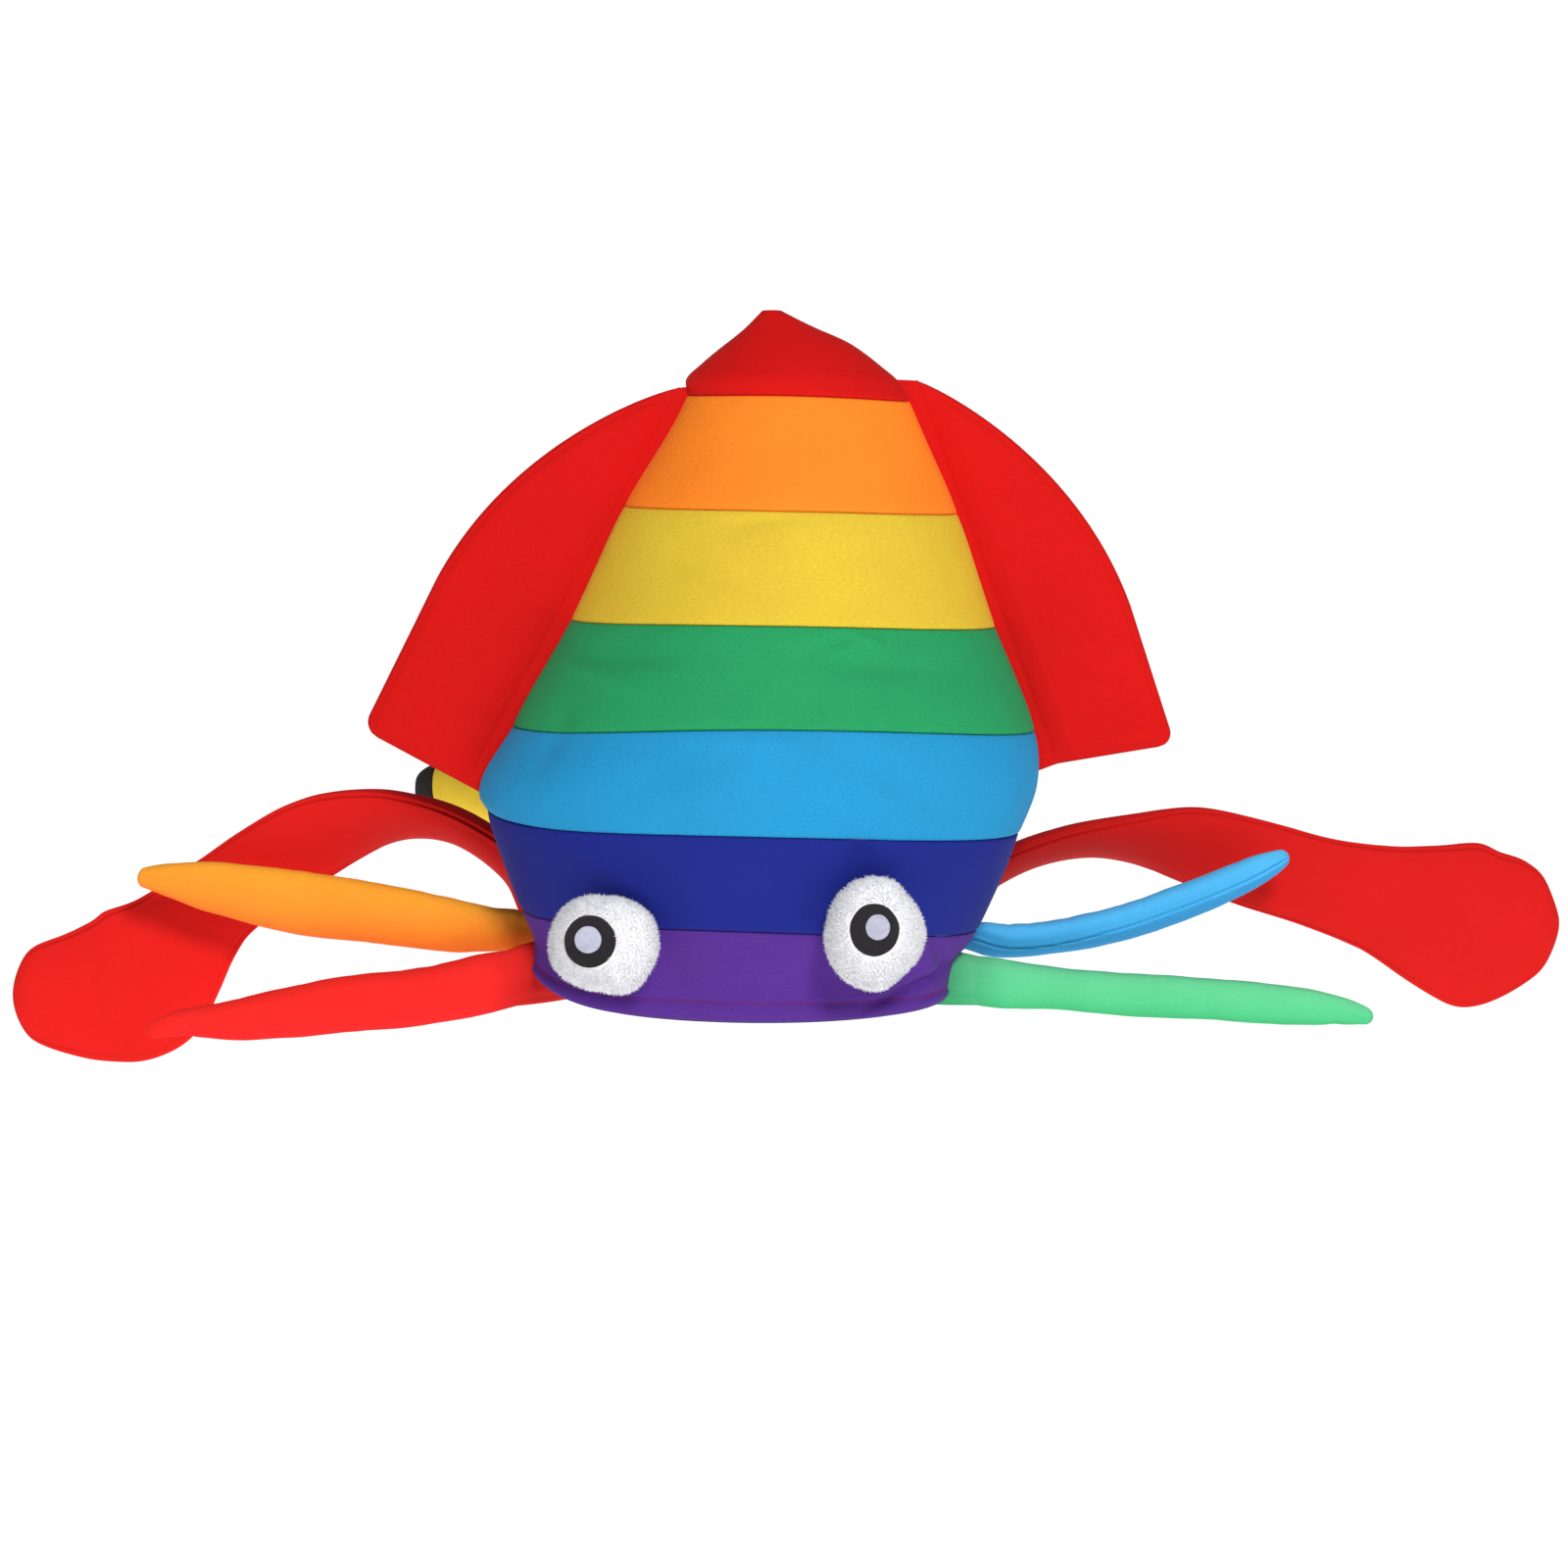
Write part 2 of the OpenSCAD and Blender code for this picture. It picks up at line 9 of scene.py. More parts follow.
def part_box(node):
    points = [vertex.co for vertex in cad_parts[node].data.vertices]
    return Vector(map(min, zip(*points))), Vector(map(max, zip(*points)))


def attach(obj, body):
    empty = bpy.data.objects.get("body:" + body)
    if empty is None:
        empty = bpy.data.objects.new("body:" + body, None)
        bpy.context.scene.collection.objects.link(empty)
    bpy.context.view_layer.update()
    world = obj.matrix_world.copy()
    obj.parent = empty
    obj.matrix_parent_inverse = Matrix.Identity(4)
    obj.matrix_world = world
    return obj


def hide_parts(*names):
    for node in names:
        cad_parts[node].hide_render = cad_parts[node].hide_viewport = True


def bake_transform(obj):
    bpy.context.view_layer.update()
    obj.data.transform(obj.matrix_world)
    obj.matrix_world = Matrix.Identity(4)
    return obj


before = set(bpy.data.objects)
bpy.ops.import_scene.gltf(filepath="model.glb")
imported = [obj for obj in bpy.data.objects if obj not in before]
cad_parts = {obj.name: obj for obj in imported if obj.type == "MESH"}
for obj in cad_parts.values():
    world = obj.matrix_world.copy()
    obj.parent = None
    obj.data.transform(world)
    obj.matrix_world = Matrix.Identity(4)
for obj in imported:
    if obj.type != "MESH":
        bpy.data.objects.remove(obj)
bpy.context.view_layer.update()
MM = 0.001
RNG = np.random.default_rng(7)

# ---------- Camera ----------

# Places in metres, lens and sensor in millimetres
AIM = Vector((0.0234, 0, 0.1115))
CAMERA_AT = Vector((0.0234, -2.1786, 0.4177))
cam_data = bpy.data.cameras.new("camera")
cam_data.lens = 95.2
cam_data.sensor_width = 36
camera = bpy.data.objects.new("camera", cam_data)
bpy.context.scene.collection.objects.link(camera)
camera.location = CAMERA_AT
camera.rotation_mode = "QUATERNION"
camera.rotation_quaternion = (AIM - CAMERA_AT).to_track_quat("-Z", "Y")
bpy.context.scene.camera = camera

# ---------- Materials ----------


def linear(rgb):
    """sRGB 0-255 to linear."""
    out = []
    for v in rgb:
        v /= 255
        out.append(v / 12.92 if v <= 0.04045 else ((v + 0.055) / 1.055) ** 2.4)
    return out


class Nodes:
    """A short way to build a node tree."""

    def __init__(self, name):
        self.mat = bpy.data.materials.new(name)
        self.mat.use_nodes = True
        self.tree = self.mat.node_tree
        self.shader = self.tree.nodes["Principled BSDF"]

    def add(self, kind, inputs=(), **settings):
        node = self.tree.nodes.new("ShaderNode" + kind)
        for key, value in settings.items():
            setattr(node, key, value)
        for key, value in dict(inputs).items():
            if isinstance(value, bpy.types.NodeSocket):
                self.tree.links.new(value, node.inputs[key])
            else:
                node.inputs[key].default_value = value
        return node

    def link(self, source, socket):
        self.tree.links.new(source, self.shader.inputs[socket])

    def math(self, operation, *values):
        return self.add("Math", dict(enumerate(values)), operation=operation).outputs[0]

    def noise(self, vector, scale, detail=2.0, rough=0.5):
        return self.add("TexNoise", {"Vector": vector, "Scale": scale, "Detail": detail,
                                     "Roughness": rough}).outputs["Fac"]

    def span(self, value, low, high, out_low, out_high):
        return self.add("MapRange", {"Value": value, "From Min": low, "From Max": high,
                                     "To Min": out_low, "To Max": out_high}).outputs["Result"]


def fabric(name, rgb, vary=0.03, grain=0.09, bump=0.40, rough=0.78, sheen=0.04,
           stretch=0.35, nap=1.0, uv=True, under=None, root=None):
    """Brushed fine knit: soft blotches, a directional grain, and a nap that catches light.

    under is painted shade, a darker colour mixed in where the cloth faces down. root is a
    painted shadow for a limb's root near the mantle: its tone and the distances from the
    middle of the hat, in metres, over which it fades out.
    """
    n = Nodes(name)
    base = linear(rgb)
    coords = n.add("TexCoord")
    along = n.add("Mapping", {"Vector": coords.outputs["UV" if uv else "Object"],
                              "Scale": (stretch, 1, 1)}).outputs["Vector"]
    place = coords.outputs["Object"]
    blotch = n.noise(place, 22, 3)
    patch = n.noise(place, 130, 3)
    wale = n.noise(along, 1150 * nap, 2, 0.6)
    fine = n.noise(place, 2100 * nap, 1)

    def around_one(value, amount):
        return n.span(value, 0.3, 0.7, 1 - amount, 1 + amount)

    tone = n.math("MULTIPLY", around_one(blotch, vary), around_one(patch, vary * 0.4))
    speck = n.math("MULTIPLY", around_one(wale, grain), around_one(fine, grain * 0.6))
    total = n.math("MULTIPLY", tone, speck)
    # painted shadow: darker towards the limb's root, where the mantle shades it
    if root:
        shade, near, far = root
        out = n.math("ABSOLUTE", n.add("SeparateXYZ", {0: place}).outputs["X"])
        total = n.math("MULTIPLY", total, n.span(out, near, far, shade, 1))
    tint = base
    # painted shade: cloth that faces down takes the darker under colour
    if under:
        facing_up = n.add("SeparateXYZ", {0: n.add("NewGeometry").outputs["Normal"]}).outputs["Z"]
        tint = n.add("Mix", {0: n.span(facing_up, -0.8, 0.8, 0, 1), 6: (*linear(under), 1),
                             7: (*base, 1)}, data_type="RGBA").outputs[2]
    colour = n.add("VectorMath", {0: tint, "Scale": total}, operation="SCALE").outputs[0]
    n.link(colour, "Base Color")
    n.link(n.span(wale, 0.3, 0.7, rough - 0.06, rough + 0.08), "Roughness")
    height = n.math("ADD", n.math("MULTIPLY", wale, 0.6), n.math("MULTIPLY", fine, 0.4))
    small = n.add("Bump", {"Height": height, "Strength": bump, "Distance": 0.0004})
    soft = n.add("Bump", {"Height": patch, "Strength": 0.12, "Distance": 0.0015,
                          "Normal": small.outputs["Normal"]})
    n.link(soft.outputs["Normal"], "Normal")
    n.shader.inputs["Sheen Weight"].default_value = sheen
    n.shader.inputs["Sheen Roughness"].default_value = 0.45
    n.shader.inputs["Sheen Tint"].default_value = (*[0.5 + 0.5 * c for c in base], 1)
    n.shader.inputs["Specular IOR Level"].default_value = 0.12
    return n.mat


KNIT = {
    "purple": fabric("purple_knit", (81, 42, 134)),
    "indigo": fabric("indigo_knit", (25, 36, 126)),
    "sky": fabric("sky_knit", (34, 142, 194)),
    "green": fabric("green_knit", (36, 148, 90)),
    "yellow": fabric("yellow_knit", (214, 182, 52)),
    "orange": fabric("orange_knit", (243, 130, 34)),
    "red": fabric("red_knit", (200, 13, 10)),
}
SMOOTH = dict(grain=0.04, bump=0.25)
# The under colours paint shade on each limb's underside, and root paints the mantle's shadow near
# its root
ARM = {
    "red_arm": fabric("red_arm_knit", (240, 40, 34), **SMOOTH, under=(226, 30, 30),
                      root=(0.66, 0.108, 0.136)),
    "orange_arm": fabric("orange_arm_knit", (255, 166, 48), **SMOOTH, under=(246, 122, 38),
                         root=(0.86, 0.11, 0.16)),
    "yellow_arm": fabric("yellow_arm_knit", (255, 226, 66), **SMOOTH),
    "green_arm": fabric("green_arm_knit", (106, 212, 150), **SMOOTH, under=(62, 180, 116),
                        root=(0.66, 0.112, 0.142)),
    "blue_arm": fabric("blue_arm_knit", (86, 186, 240), **SMOOTH, under=(48, 146, 206)),
    "purple_arm": fabric("purple_arm_knit", (104, 58, 170), **SMOOTH),
    "left_tentacle": fabric("left_tentacle_knit", (220, 26, 22), **SMOOTH,
                            root=(0.78, 0.12, 0.28)),
    # painted shade: the right tentacle is a darker copy of the left one's red, for the shadow it
    # lies in
    "right_tentacle": fabric("right_tentacle_shaded_knit", (206, 22, 19), **SMOOTH,
                             root=(0.72, 0.12, 0.28)),
}
BACKING = fabric("knit_backing", (226, 224, 216), vary=0.05, grain=0.14, bump=0.5, sheen=0.1)
# painted shade: the turned-in facing is dark purple for the shadow under the hem
FACING_PAINTED_SHADE = fabric("purple_facing_painted_shade", (38, 18, 62))
THREAD = fabric("thread", (132, 30, 84), vary=0.05, grain=0.2, bump=0.3, nap=2.0, uv=False)
ELASTIC = fabric("elastic", (232, 232, 228), grain=0.2, bump=0.6, nap=0.6)
CHARCOAL = fabric("charcoal_felt", (46, 48, 45), grain=0.25, bump=0.6, rough=0.9)
PLUSH = fabric("white_plush", (252, 252, 255), vary=0.01, grain=0.02, bump=0.1, rough=0.9,
               sheen=0.2, uv=False)
# painted light: a faint blue-white glow on the white plush stands in for light that has come
# through the pile
plush_shader = PLUSH.node_tree.nodes["Principled BSDF"]
plush_shader.inputs["Emission Color"].default_value = (0.9, 0.9, 1, 1)
plush_shader.inputs["Emission Strength"].default_value = 0.11
BLACK = fabric("black_felt", (38, 35, 38), vary=0.2, grain=0.22, bump=0.4, rough=0.62, uv=False,
               sheen=0.1)
GREY = fabric("grey_felt", (180, 181, 200), vary=0.10, grain=0.10, bump=0.5, rough=0.6, uv=False,
              nap=0.35)

# ---------- Mesh helpers ----------


def grid_faces(rows, cols, start=0, wrap=False):
    """Quads of a grid of points, closed round its columns if wrap is set."""
    r = np.arange(rows - 1)[:, None]
    c = np.arange(cols if wrap else cols - 1)[None, :]
    nxt = (c + 1) % cols
    a = start + r * cols + c
    b = start + r * cols + nxt
    return np.stack([a, b, b + cols, a + cols], -1).reshape(-1, 4)


def tube_faces(rings, sides, start=0):
    """Faces of a tube of rings that is closed at both ends."""
    last = start + (rings - 1) * sides
    return [list(f) for f in grid_faces(rings, sides, start, True)] + [
        [start + j for j in range(sides)], [last + j for j in range(sides)]]


def sleeve_faces(rows, cols):
    """Outer face, inner face and cut edges of two grids of points, one behind the other."""
    count = rows * cols
    ring = np.concatenate([np.arange(cols), cols - 1 + cols * np.arange(1, rows),
                           count - 2 - np.arange(cols - 1),
                           cols * np.arange(rows - 2, 0, -1)])
    nxt = np.roll(ring, -1)
    return [grid_faces(rows, cols), grid_faces(rows, cols, count)[:, ::-1],
            np.stack([ring, nxt, nxt + count, ring + count], -1)]


def section_faces(points, steps):
    """Faces of a closed section of so many points that runs round in steps."""
    return grid_faces(points + 1, steps, 0, True) % (points * steps)


def make(name, points, faces, mats, uvs=None, face_mats=None, body=None):
    """A mesh piece from points in millimetres."""
    mesh = bpy.data.meshes.new(name)
    mesh.from_pydata((np.asarray(points) * MM).tolist(), [], [list(map(int, f)) for f in faces])
    mesh.update()
    for m in mats:
        mesh.materials.append(m)
    if uvs is not None:
        layer = mesh.uv_layers.new(name="Cloth")
        index = np.zeros(len(mesh.loops), np.int32)
        mesh.loops.foreach_get("vertex_index", index)
        layer.data.foreach_set("uv", (np.asarray(uvs) * MM)[index].astype(np.float32).ravel())
    if face_mats is not None:
        mesh.polygons.foreach_set("material_index", np.asarray(face_mats, np.int32))
    mesh.polygons.foreach_set("use_smooth", np.full(len(mesh.polygons), True))
    bm = bmesh.new()
    bm.from_mesh(mesh)
    bmesh.ops.recalc_face_normals(bm, faces=bm.faces)
    bm.to_mesh(mesh)
    bm.free()
    ob = bpy.data.objects.new(name, mesh)
    bpy.context.scene.collection.objects.link(ob)
    if body:
        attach(ob, body)
    return ob


def unit(v):
    """Vectors scaled to a length of 1."""
    return v / np.maximum(np.linalg.norm(v, axis=-1, keepdims=True), 1e-9)


def surface_normals(grid):
    """Normals of a grid of points, by differences along its rows and columns."""
    return unit(np.cross(np.gradient(grid, axis=1), np.gradient(grid, axis=0)))


def rolled(points, scale, seed):
    """Smooth noise, about -1 to 1, at points in millimetres."""
    flat = np.asarray(points).reshape(-1, 3) / scale + seed
    return np.array([noise.noise(p) for p in flat]).reshape(np.asarray(points).shape[:-1])


def arc(points, axis):
    """Running length along an axis of a grid."""
    step = np.linalg.norm(np.diff(points, axis=axis), axis=-1)
    shape = list(step.shape)
    shape[axis] = 1
    return np.concatenate([np.zeros(shape), np.cumsum(step, axis=axis)], axis=axis)


# ---------- Mantle ----------

MANTLE_H, RIM_W, RIM_D, WAIST_W, WAIST_D, WALL = 361, 220, 160, 294, 210, 3
HEM_H = 7.6
# Height as a share of the mantle's, width and depth as shares of the waist's, then sideways
# lean in mm, roll in degrees, how sharp the side seams are, and how far in mm a panel's middle
# and its left-hand seam stand above their level
LEVELS = np.array([
    [0.000, RIM_W / WAIST_W, RIM_D / WAIST_D, 0, 1.2, 0.85, -2, 9],
    [0.045, 0.752, 0.790, 2, 1.6, 0.95, 4, 6],
    [0.107, 0.823, 0.870, 5, 2.0, 1.05, 9, 3],
    [0.248, 0.959, 0.980, 7, 1.4, 1.10, 9, 6],
    [0.305, 1.000, 1.000, 10, -0.3, 1.13, 11, 2],
    [0.389, 0.939, 0.955, 18, 0.2, 1.25, 12.5, 2],
    [0.546, 0.761, 0.800, 23, 1.0, 1.35, 7, 0],
    [0.712, 0.596, 0.600, 27, 1.3, 1.40, 4, 0],
    [0.874, 0.398, 0.370, 31, 1.5, 1.40, 3, 0],
    [0.898, 0.380, 0.345, 28, 1.0, 1.40, 2, 0],
    [0.919, 0.326, 0.295, 27.5, 1.0, 1.40, 2, 0],
    [0.951, 0.226, 0.200, 26, 0.5, 1.35, 1, 0],
    [0.975, 0.126, 0.116, 21.5, 0.0, 1.30, 0, 0],
    [1.000, 0.034, 0.036, 17, 0.0, 1.20, 0, 0]])
SEAMS = np.array([0, 0.107, 0.248, 0.389, 0.546, 0.712, 0.874, 1]) * MANTLE_H
BANDS = ["purple", "indigo", "sky", "green", "yellow", "orange", "red"]
RIM_BAND, PEAK = 0, len(BANDS) - 1


def slopes(x, y):
    """Slopes of a smooth curve that doesn't overshoot its points."""
    d = np.diff(y) / np.diff(x)
    m = np.concatenate([[d[0]], np.zeros(len(x) - 2), [d[-1]]])
    both = d[:-1] * d[1:] > 0
    m[1:-1][both] = 2 * d[:-1][both] * d[1:][both] / (d[:-1] + d[1:])[both]
    return m


SLOPES = [None] + [slopes(LEVELS[:, 0], LEVELS[:, c]) for c in range(1, 8)]


def level(z, c):
    """A column of the level table at height z, smoothly."""
    x, y, m = LEVELS[:, 0], LEVELS[:, c], SLOPES[c]
    t = np.clip(np.asarray(z, float) / MANTLE_H, 0, 1)
    i = np.clip(np.searchsorted(x, t, side="right") - 1, 0, len(x) - 2)
    h = x[i + 1] - x[i]
    s = (t - x[i]) / h
    return ((1 + 2 * s) * (1 - s) ** 2 * y[i] + s * (1 - s) ** 2 * h * m[i]
            + s * s * (3 - 2 * s) * y[i + 1] + s * s * (s - 1) * h * m[i + 1])


def mantle(z, a, side, inset=0.0, squeeze=1.0):
    """Points of the mantle at material height z and angle a in degrees from the right seam."""
    z, a = np.broadcast_arrays(np.asarray(z, float), np.radians(np.asarray(a, float)))
    half_w = level(z, 1) * WAIST_W / 2 * squeeze
    half_d = level(z, 2) * WAIST_D / 2 * squeeze
    x = (half_w - np.minimum(inset, 0.6 * half_w)) * np.cos(a)
    y = (half_d - np.minimum(inset, 0.6 * half_d)) * np.abs(np.sin(a)) ** level(z, 5)
    lift = level(z, 6) * np.sin(a) ** 2 + level(z, 7) * np.maximum(0, -np.cos(a)) ** 6
    return np.stack([level(z, 3) + x, side * np.maximum(y, 0.15),
                     z - x * np.tan(np.radians(level(z, 4))) + lift], -1)


# Soft folds on the face: x, z of the middle, half length, half width, slant, depth (mm, deg)
FOLDS = [
    (-62, 186, 34, 5.5, 4, -1.6), (-76, 176, 26, 4.5, -14, 1.3), (66, 184, 30, 6, -8, -1.4),
    (40, 168, 30, 5, 74, -0.9), (64, 82, 22, 5.5, 100, -2.4), (82, 78, 20, 5, 96, 1.2),
    (50, 196, 14, 3.0, 20, -1.0), (62, 199, 12, 2.6, -30, 0.9), (90, 196, 13, 3.0, 60, -0.9),
    (16, 258, 22, 5, 12, -0.9), (-20, 232, 28, 6, -20, -0.8), (70, 132, 34, 9, -28, -1.3),
    (-40, 128, 40, 10, 18, -1.1), (10, 150, 44, 9, -6, 1.0), (-96, 140, 22, 6, 60, -1.2),
    (90, 12, 22, 2.6, 18, -2.4), (88, 18, 20, 4, 20, 0.8), (105, 26, 13, 2.6, 104, -1.7),
    (98, 26, 13, 3.2, 100, 1.0), (36, 22, 22, 6, 70, -0.9),
    (-30, 24, 22, 7, 100, -0.7), (0, 62, 40, 9, 8, -0.9), (-60, 74, 24, 6, -30, 0.8)]
BACK_FOLDS = [
    (-30, 176, 40, 7, 12, -1.6), (50, 160, 34, 6, -18, -1.3), (20, 120, 60, 9, 6, -1.4),
    (-70, 120, 30, 7, 50, -1.2), (80, 90, 26, 6, 70, -1.4), (0, 60, 40, 8, -8, -1.1),
    (34, 240, 24, 5, 30, -0.9), (-60, 40, 24, 6, 95, -1.2), (20, 20, 22, 5, 85, -1.0)]


def fold_relief(points, folds):
    """How far the soft folds raise a panel at its points."""
    total = np.zeros(points.shape[:-1])
    for x, z, length, width, slant, depth in folds:
        c, s = math.cos(math.radians(slant)), math.sin(math.radians(slant))
        dx, dz = points[..., 0] - x, points[..., 2] - z
        u, v = dx * c + dz * s, -dx * s + dz * c
        total += depth * np.exp(-(u / length) ** 2 - (v / width) ** 2)
    return total


def eased(count, ease):
    """Shares from 0 to 1 that stand closer together at both ends, by the share ease."""
    t = np.linspace(0, 1, count)
    return (1 - ease) * t + ease * (1 - np.cos(math.pi * t)) / 2


HEM_LINE = {}
ROWS, COLS = 44, 176
ANGLES = 180 * eased(COLS, 0.45)


def band_rows(i):
    """Material heights up a band, closer together at its edges."""
    seam_gap = 0.1
    low = SEAMS[i] + (0 if i == RIM_BAND else seam_gap)
    high = SEAMS[i + 1] - (seam_gap if i < PEAK else 0)
    return low + (high - low) * eased(ROWS, 0.55)


def edge_curl(d, reach, depth):
    """How far cloth turns in at distance d from a seam."""
    return -depth * np.clip(1 - d / reach, 0, 1) ** 2


def band_puff(i, up, down):
    """How far a band bulges between its seams, at distances from its lower and upper seam."""
    if i == RIM_BAND:
        roll = 3.4
        h = np.clip(1 - up / roll, 0, 1)
        puff = 0.6 * (1 - np.exp(-down / 5))
        puff -= roll * (1 - np.sqrt(np.maximum(0, 1 - h ** 2)))
        puff -= 0.8 * np.exp(-((up - HEM_H) / 1.0) ** 2)
        puff += 0.5 * np.exp(-((up - 4.5) / 2.4) ** 2)
    elif i == PEAK:
        puff = 1.2 * (1 - np.exp(-up / 2.2)) * np.clip(down / 12, 0, 1) ** 0.5
    else:
        puff = 1.0 * (1 - np.exp(-up / 2.2)) * (1 - np.exp(-down / 5))
    if i > RIM_BAND:
        puff = puff + edge_curl(up, 1.1, 1.2)
    if i < PEAK:
        puff = puff + edge_curl(down, 1.0, 1.0)
    return puff


def band(i, side):
    """A knit panel with its backing, from side seam to side seam. side is -1 in front."""
    z = band_rows(i)[:, None]
    a = ANGLES[None, :]
    outer = mantle(z, a, side)
    inner = mantle(z, a, side, WALL)
    middle = np.stack([level(z, 3) + 0 * a, 0 * z * a, z + 0 * a], -1)
    if i == PEAK:
        # three more rows round the tip over
        for bend in (0.35, 0.7, 1.0):
            squeeze = math.cos(bend * math.pi / 2) + 0.01
            extra = mantle(MANTLE_H, a, side, 0, squeeze)
            extra[..., 2] += 0.4 * math.sin(bend * math.pi / 2)
            outer = np.concatenate([outer, extra], 0)
            inner = np.concatenate([inner, mantle(MANTLE_H - 1, a, side, WALL, squeeze)], 0)
            middle = np.concatenate([middle, middle[-1:]], 0)
    rows = len(outer)
    normal = surface_normals(outer)
    flip = np.sign(np.sum(normal * (outer - middle), -1, keepdims=True))
    normal = normal * np.where(flip == 0, 1, flip)
    heights = np.concatenate([z[:, 0], [MANTLE_H] * (rows - len(z))])[:, None]
    up, down = heights - SEAMS[i], SEAMS[i + 1] - heights
    run = arc(outer, 1)
    edge = np.minimum(run, run[:, -1:] - run)
    relief = 1.5 * fold_relief(outer, FOLDS if side < 0 else BACK_FOLDS)
    relief += 0.9 * rolled(outer, 70, 3.1 * i + side) + 0.35 * rolled(outer, 22, 9 + i + side)
    puff = band_puff(i, up, down)
    # folds die out at the side seams and fade at the seams between bands
    fade = np.clip(edge / 9, 0, 1)
    ends = np.clip(np.minimum(up, down if i < PEAK else down + 9) / 6, 0, 1)
    relief = relief * fade * (0.35 + 0.65 * ends if i > RIM_BAND else 1.0)
    outer = outer + normal * ((puff * (0.25 + 0.75 * fade) + relief)
                              + edge_curl(edge, 2.2, 1.3))[..., None]
    # the backing follows the knit more weakly towards the rim and the peak
    follow_mid, follow_h = 180, 400
    follow = np.clip(1 - abs(heights - follow_mid) / follow_h, 0, 1)
    inner = inner + normal * (0.6 * relief + 0.5 * puff * fade)[..., None] * follow[..., None]
    if i == RIM_BAND:
        HEM_LINE[side] = outer[int(np.argmin(abs(z[:, 0] - HEM_H)))]
    faces = sleeve_faces(rows, COLS)
    kinds = np.concatenate([np.full(len(f), k) for f, k in zip(faces, (0, 1, 0))])
    uv = np.stack([run - run[:, -1:] / 2, np.broadcast_to(heights, run.shape)], -1).reshape(-1, 2)
    name = (f"{BANDS[i]}_band" if i < PEAK else "red_peak") + ("_front" if side < 0 else "_back")
    ob = make(name + "_panel", np.concatenate([outer.reshape(-1, 3), inner.reshape(-1, 3)]),
              np.concatenate(faces), [KNIT[BANDS[i]], BACKING], np.concatenate([uv, uv]),
              kinds, "hat")
    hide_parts(name)


for index in range(len(BANDS)):
    for which in (-1, 1):
        band(index, which)


def loop(z, inset, steps=360):
    """A closed loop round the mantle."""
    half = steps // 2
    a = np.linspace(0, 180, half, endpoint=False)
    return np.concatenate([mantle(z, a, -1, inset), mantle(z, 180 - a, 1, inset)], 0)


def hoop(name, section, mat, cad, ripple=0.0):
    """A ring inside the mantle from a closed list of (height, inset)."""
    loops = np.stack([loop(z, inset) for z, inset in section])
    if ripple:
        wave = ripple * np.sin(np.arange(loops.shape[1]) * math.pi * 2 / 4.5)
        loops[..., 1] += wave * np.sign(loops[..., 1])
    uv = np.stack([arc(loops, 1), arc(loops, 0)], -1).reshape(-1, 2)
    ob = make(name, loops.reshape(-1, 3), section_faces(*loops.shape[:2]), [mat], uv, None, "hat")
    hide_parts(cad)


# Sections of the turned-up cloth and of the elastic inside it
fold_in = WALL + 0.6
facing = [(HEM_H + 0.6 * math.sin(t), fold_in + 1.9 - 1.6 * math.cos(t))
          for t in np.linspace(0, math.pi, 6)]
# its lower part reaches just below the hem's edge, where the dark facing paints the shadowed
# underside
facing += [(3.4 - 4.0 * math.sin(t), fold_in + 3.5 - (1 - math.cos(t)) * 1.9)
           for t in np.linspace(0.0, math.pi / 2 + 0.3, 8)]
hoop("hem_turning", facing, FACING_PAINTED_SHADE, "hem_facing")
low, mid, high = 1.8, 4.2, 6.6
elastic = [(low, WALL + 0.3), (low, WALL + 1.0), (mid, WALL + 1.1),
           (high, WALL + 1.0), (high, WALL + 0.3), (mid, WALL + 0.2)]
hoop("hem_elastic_web", elastic, ELASTIC, "hem_elastic", 0.12)


def stitches():
    """Topstitches that dip into the fabric at both ends."""
    path = np.concatenate([HEM_LINE[-1], HEM_LINE[1][::-1]])
    closed = np.concatenate([path, path[:1]])
    length = arc(closed, 0)
    points, faces, sides, rings = [], [], 8, 7
    count, half_long, thread_r = 250, 0.36, 0.38
    turn = np.linspace(0, 2 * math.pi, sides, endpoint=False)
    pitch = length[-1] / count
    for k in range(count):
        s = (k + 0.5) * pitch + RNG.uniform(-0.08, 0.08)
        t = np.linspace(-half_long, half_long, rings)
        line = np.stack([np.interp((s + t * pitch) % length[-1], length, closed[:, c])
                         for c in range(3)], -1)
        line[:, 2] += RNG.uniform(-0.15, 0.15) + t * RNG.uniform(-0.5, 0.5)
        go = unit(np.gradient(line, axis=0))
        out = unit(np.stack([go[:, 1], -go[:, 0], 0 * go[:, 0]], -1))
        out *= np.sign(np.sum(out * (line - [level(HEM_H, 3), 0, HEM_H]), -1, keepdims=True))
        line = line + out * (0.3 - 0.9 * (t / half_long)[:, None] ** 4)
        upward = np.cross(go, out)
        size = thread_r * np.sqrt(np.maximum(0.05, 1 - (t / 0.40) ** 2))
        ring = (line[:, None] + size[:, None, None] * (
            np.cos(turn)[None, :, None] * out[:, None] + np.sin(turn)[None, :, None]
            * upward[:, None]))
        faces += tube_faces(rings, sides, len(points) * rings * sides)
        points.append(ring.reshape(-1, 3))
    ob = make("hem_topstitches", np.concatenate(points), faces, [THREAD], None, None, "hat")
    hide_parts("hem_stitching")


stitches()

# ---------- Fins ----------

FIN_W, FIN_ARC, FIN_LOW_W, FIN_CORNER, FIN_BULGE = 65, 150, 62, 9, 1.8
# Top and bottom of the hinge line (x, z), how far down it the lower corner is, which side, and
# how much sooner the fin ends at the mantle
FINS = {"left_fin": ((-31, 321), (-145, 112), 239, -1, 0),
        "right_fin": ((92.6, 324.7), (165, 131), 228, 1, 12)}


